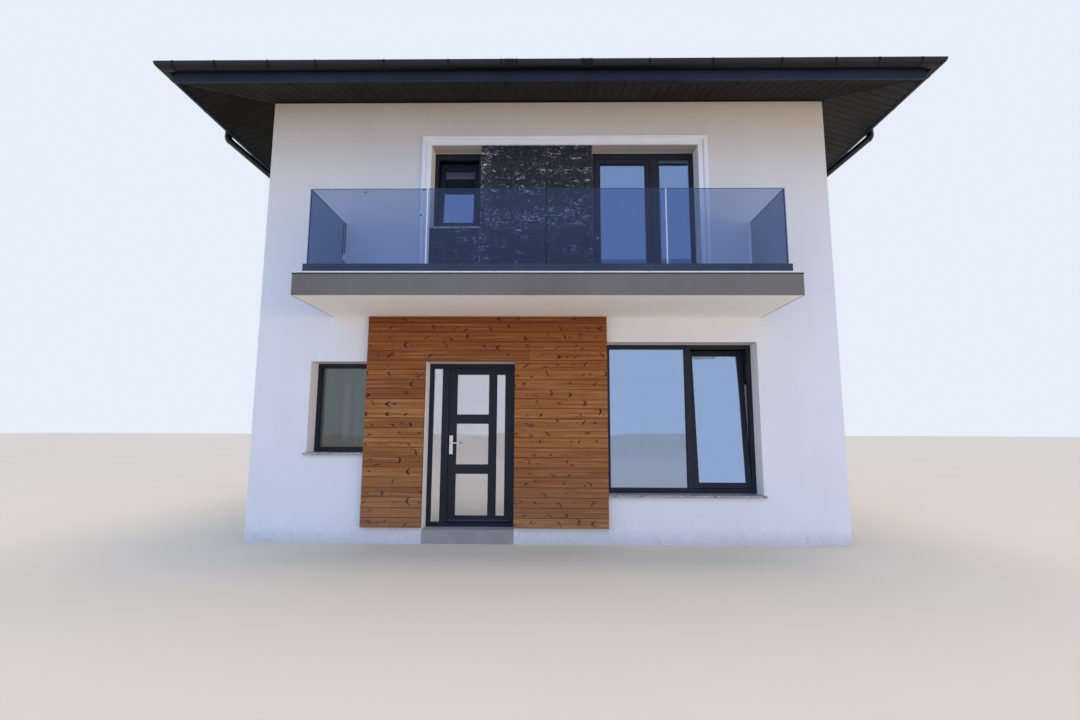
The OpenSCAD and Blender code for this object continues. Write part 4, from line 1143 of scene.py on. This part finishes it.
def gutterRuns():
    g, rim = gutter, house["gutterRim"]
    angles = [math.pi * k / 20 for k in range(21)]
    outline = [(g["centre"] - x, rim + z) for x, z in arc(g["outside"], angles)]
    outline += [(g["centre"] + radius, rim + g["lip"]) for radius in (g["outside"], g["inside"])]
    outline += [(g["centre"] - x, rim + z) for x, z in arc(g["inside"], reversed(angles))]
    rect = (-g["outerX"], g["outerX"], -g["outerY"], g["outerY"])
    shape = Shape()
    shape.ring(rect, outline, place=onPlan)
    r = g["bead"]
    middle, level = g["beadInset"] + r, rim + g["beadLift"]
    angles = [2 * math.pi * k / 14 for k in range(14)]
    shape.ring(rect, [(middle - r * math.cos(a), level + r * math.sin(a)) for a in angles], place=onPlan)
    makePiece("gutter_runs", shape, [runMetal], slot="gutter_metal", instead=["gutters"])


def gutterStraps():
    g, rim = gutter, house["gutterRim"]
    angles = [math.pi * k / 16 for k in range(17)]
    middle = house["overhang"] + g["centre"]  # gutter centre line, out from the wall face
    straps = Shape()

    def wrap(wall, at, width, outline):  # an outline round the gutter, given a width along it
        straps.loft([[walls[wall](at + end, -(middle + c), rim + h) for c, h in outline]
                     for end in (-width / 2, width / 2)])

    for wall in walls:
        half = wallHalf[wall] + g["strapReach"]
        strap = (g["strapWidth"], g["strapThick"], 1)
        connector = (g["connectorWidth"], g["connectorThick"], 3)
        if wall == "front":
            spots = [(s, *strap) for s in g["frontStraps"]] + [(s, *connector) for s in g["connectors"]]
        else:
            count = round(2 * half / g["strapStep"])
            spots = [(-half + 2 * half * k / count, *strap) for k in range(count + 1)]
        for s, width, thick, tongues in spots:
            inner = arc(g["outside"] - g["strapBite"], reversed(angles))
            wrap(wall, s, width, arc(g["outside"] + thick, angles) + inner)
            for n in range(tongues):  # folded tongue over the bead
                wrap(wall, s + (n - (tongues - 1) / 2) * g["tongueStep"], g["tongueWidth"], g["tongue"])
    makePiece("gutter_straps", straps, [strapMetal], slot="gutter_metal")


gutterRuns()
gutterStraps()

fasciaFolds = [
    [(0.001, 5.7345), (-0.004, 5.7345), (-0.0055, 5.7365), (-0.0045, 5.747), (0.001, 5.7495)],
    [(0.02, 5.9500), (0.0, 5.9500), (-0.012, 5.9440), (-0.013, 5.9460), (0.0, 5.9540), (0.02, 5.9640)],
]
outX, outY = halfWidth + house["overhang"], halfDepth + house["overhang"]
fold = Shape()
for outline in fasciaFolds:
    fold.ring((-outX, outX, -outY, outY), outline, place=onPlan)
makePiece("fascia_folds", fold, [fasciaMetal], slot="soffit_metal")
print("eaves dressed")


# roof: pressed metal tile and round caps

roof = {"course": 0.35, "firstNose": 0.815, "nose": 0.018, "lip": 0.0045, "noseRun": 0.010, "wave": 0.2,
        "crest": 0.020, "samples": 8, "thick": 0.0025, "capRadius": 0.085, "capThick": 0.003, "capStep": 0.36,
        "collarRise": 0.002, "capLap": 0.012, "capTaper": 0.005, "capEnd": 0.0905, "hipEnd": 0.745,
        "collar": [(0.0, 0.0), (0.004, 0.002), (0.022, 0.002), (0.026, -0.0005)]}  # along the cap, outwards


def waveLift(s):
    turn = 0.5 + 0.5 * math.cos(2 * math.pi * s / roof["wave"])
    return roof["crest"] * turn ** 0.75


def courseRows(eave):  # how far out each row of points is, and its lift
    r = roof
    edges, nose = [eave], r["firstNose"]
    while nose > -halfWidth:
        if nose < eave - 0.02:
            edges.append(nose)
        nose -= r["course"]
    edges.append(-halfWidth)
    rows = []
    for start, end in zip(edges, edges[1:]):
        depth = start - end
        lift = r["nose"] * (depth / r["course"])
        rows += [(start, lift - r["lip"]), (start - r["noseRun"], lift), (start - 0.5 * depth, lift * 0.5),
                 (end + 0.001, 0.0)]
    return rows


def trimHips(mesh, wall):
    half = wallHalf[wall]
    for side in (-1, 1):
        corner = Vector(walls[wall](side * half, 0, 0))
        along = (Vector(walls[wall](side * (half - 1), 1, 0)) - corner).normalized()
        normal = Vector((-along.y, along.x, 0))
        if normal.dot(Vector(walls[wall](0, 0, 0)) - corner) > 0:
            normal = -normal
        everything = list(mesh.verts) + list(mesh.edges) + list(mesh.faces)
        bmesh.ops.bisect_plane(mesh, geom=everything, plane_co=corner, plane_no=normal, clear_outer=True)


def layRoof():
    for wall in walls:
        node = "roof_" + wall
        low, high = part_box(node)
        eave = {"front": -low.y - halfDepth, "back": high.y - halfDepth,
                "left": -low.x - halfWidth, "right": high.x - halfWidth}[wall]
        reach = wallHalf[wall] + eave
        count = int(2 * reach / roof["wave"] * roof["samples"])
        columns = [-reach + 2 * reach * k / count for k in range(count + 1)]
        mesh = bmesh.new()
        grid = []
        for out, lift in courseRows(eave):
            level = house["tilePlane"] - out * house["fall"] + lift
            grid.append([mesh.verts.new(walls[wall](s, -out, level + waveLift(s))) for s in columns])
        for lower, upper in zip(grid, grid[1:]):
            for i in range(count):
                mesh.faces.new((lower[i], lower[i + 1], upper[i + 1], upper[i]))
        trimHips(mesh, wall)
        bmesh.ops.recalc_face_normals(mesh, faces=mesh.faces)
        if sum(face.normal.z for face in mesh.faces) < 0:
            bmesh.ops.reverse_faces(mesh, faces=mesh.faces)
        data = bpy.data.meshes.new("roof_sheet_" + wall)
        mesh.to_mesh(data)
        mesh.free()
        data.materials.append(roofMetal)
        sheet = addPiece("roof_sheet_" + wall, data, slot="roof_metal", instead=[node], smooth=40)
        solid = sheet.modifiers.new("gauge", "SOLIDIFY")
        solid.thickness = roof["thick"]
        solid.offset = -1.0


layRoof()


def capRun(shape, start, end):  # lapped round caps from the lower end up
    r = roof
    start, end = Vector(start), Vector(end)
    along = (end - start).normalized()
    side = along.cross(Vector((0, 0, 1))).normalized()
    up = side.cross(along)
    length = (end - start).length
    count = max(1, round(length / r["capStep"]))
    step = length / count
    angles = [math.radians(-14 + 208 * k / 16) for k in range(17)]
    stations = r["collar"] + [(step + r["capLap"], -r["capTaper"])]

    def bow(centre, radius, angles):
        return [centre + side * (radius * math.cos(a)) + up * (radius * math.sin(a)) for a in angles]

    for k in range(count):
        rings = []
        for distance, grow in stations:
            radius = r["capRadius"] - r["collarRise"] + grow
            centre = start + along * min(k * step + distance, length)
            rings.append(bow(centre, radius, angles) + bow(centre, radius - r["capThick"], reversed(angles)))
        shape.loft(rings)


def dome(radius, height, step):  # outline of a quarter turn, for an end cap
    angles = [math.radians(a) for a in range(0, 91, step)]
    return [(radius * math.cos(a), height * math.sin(a)) for a in angles]


def layCaps():
    r, ridge, ridgeHalf = roof, house["ridgeTop"], house["ridgeHalf"]
    radius, endRadius, out = r["capRadius"], r["capEnd"], r["hipEnd"]
    shape = Shape()
    capRun(shape, (0, -ridgeHalf, ridge), (0, ridgeHalf, ridge))
    for sx, sy in itertools.product((-1, 1), repeat=2):
        top = (0, sy * ridgeHalf, ridge)
        foot = (sx * (halfWidth + out), sy * (halfDepth + out), ridge - house["fall"] * (out + halfWidth))
        capRun(shape, foot, top)
        along = (Vector(top) - Vector(foot)).normalized()
        shape.turn([(radius * 0.985, -0.012)] + dome(radius, radius * 0.55, 15), foot, -along, 28)
    for sy in (-1, 1):  # three-way cap at each end of the ridge
        outline = [(endRadius, -0.03)] + dome(endRadius, endRadius, 10)
        shape.turn(outline, (0, sy * ridgeHalf, ridge), (0, 0, 1), 32)
    makePiece("ridge_and_hip_caps", shape, [roofMetal], slot="roof_metal", instead=["roof_caps"], smooth=40)


layCaps()
print("roof laid")
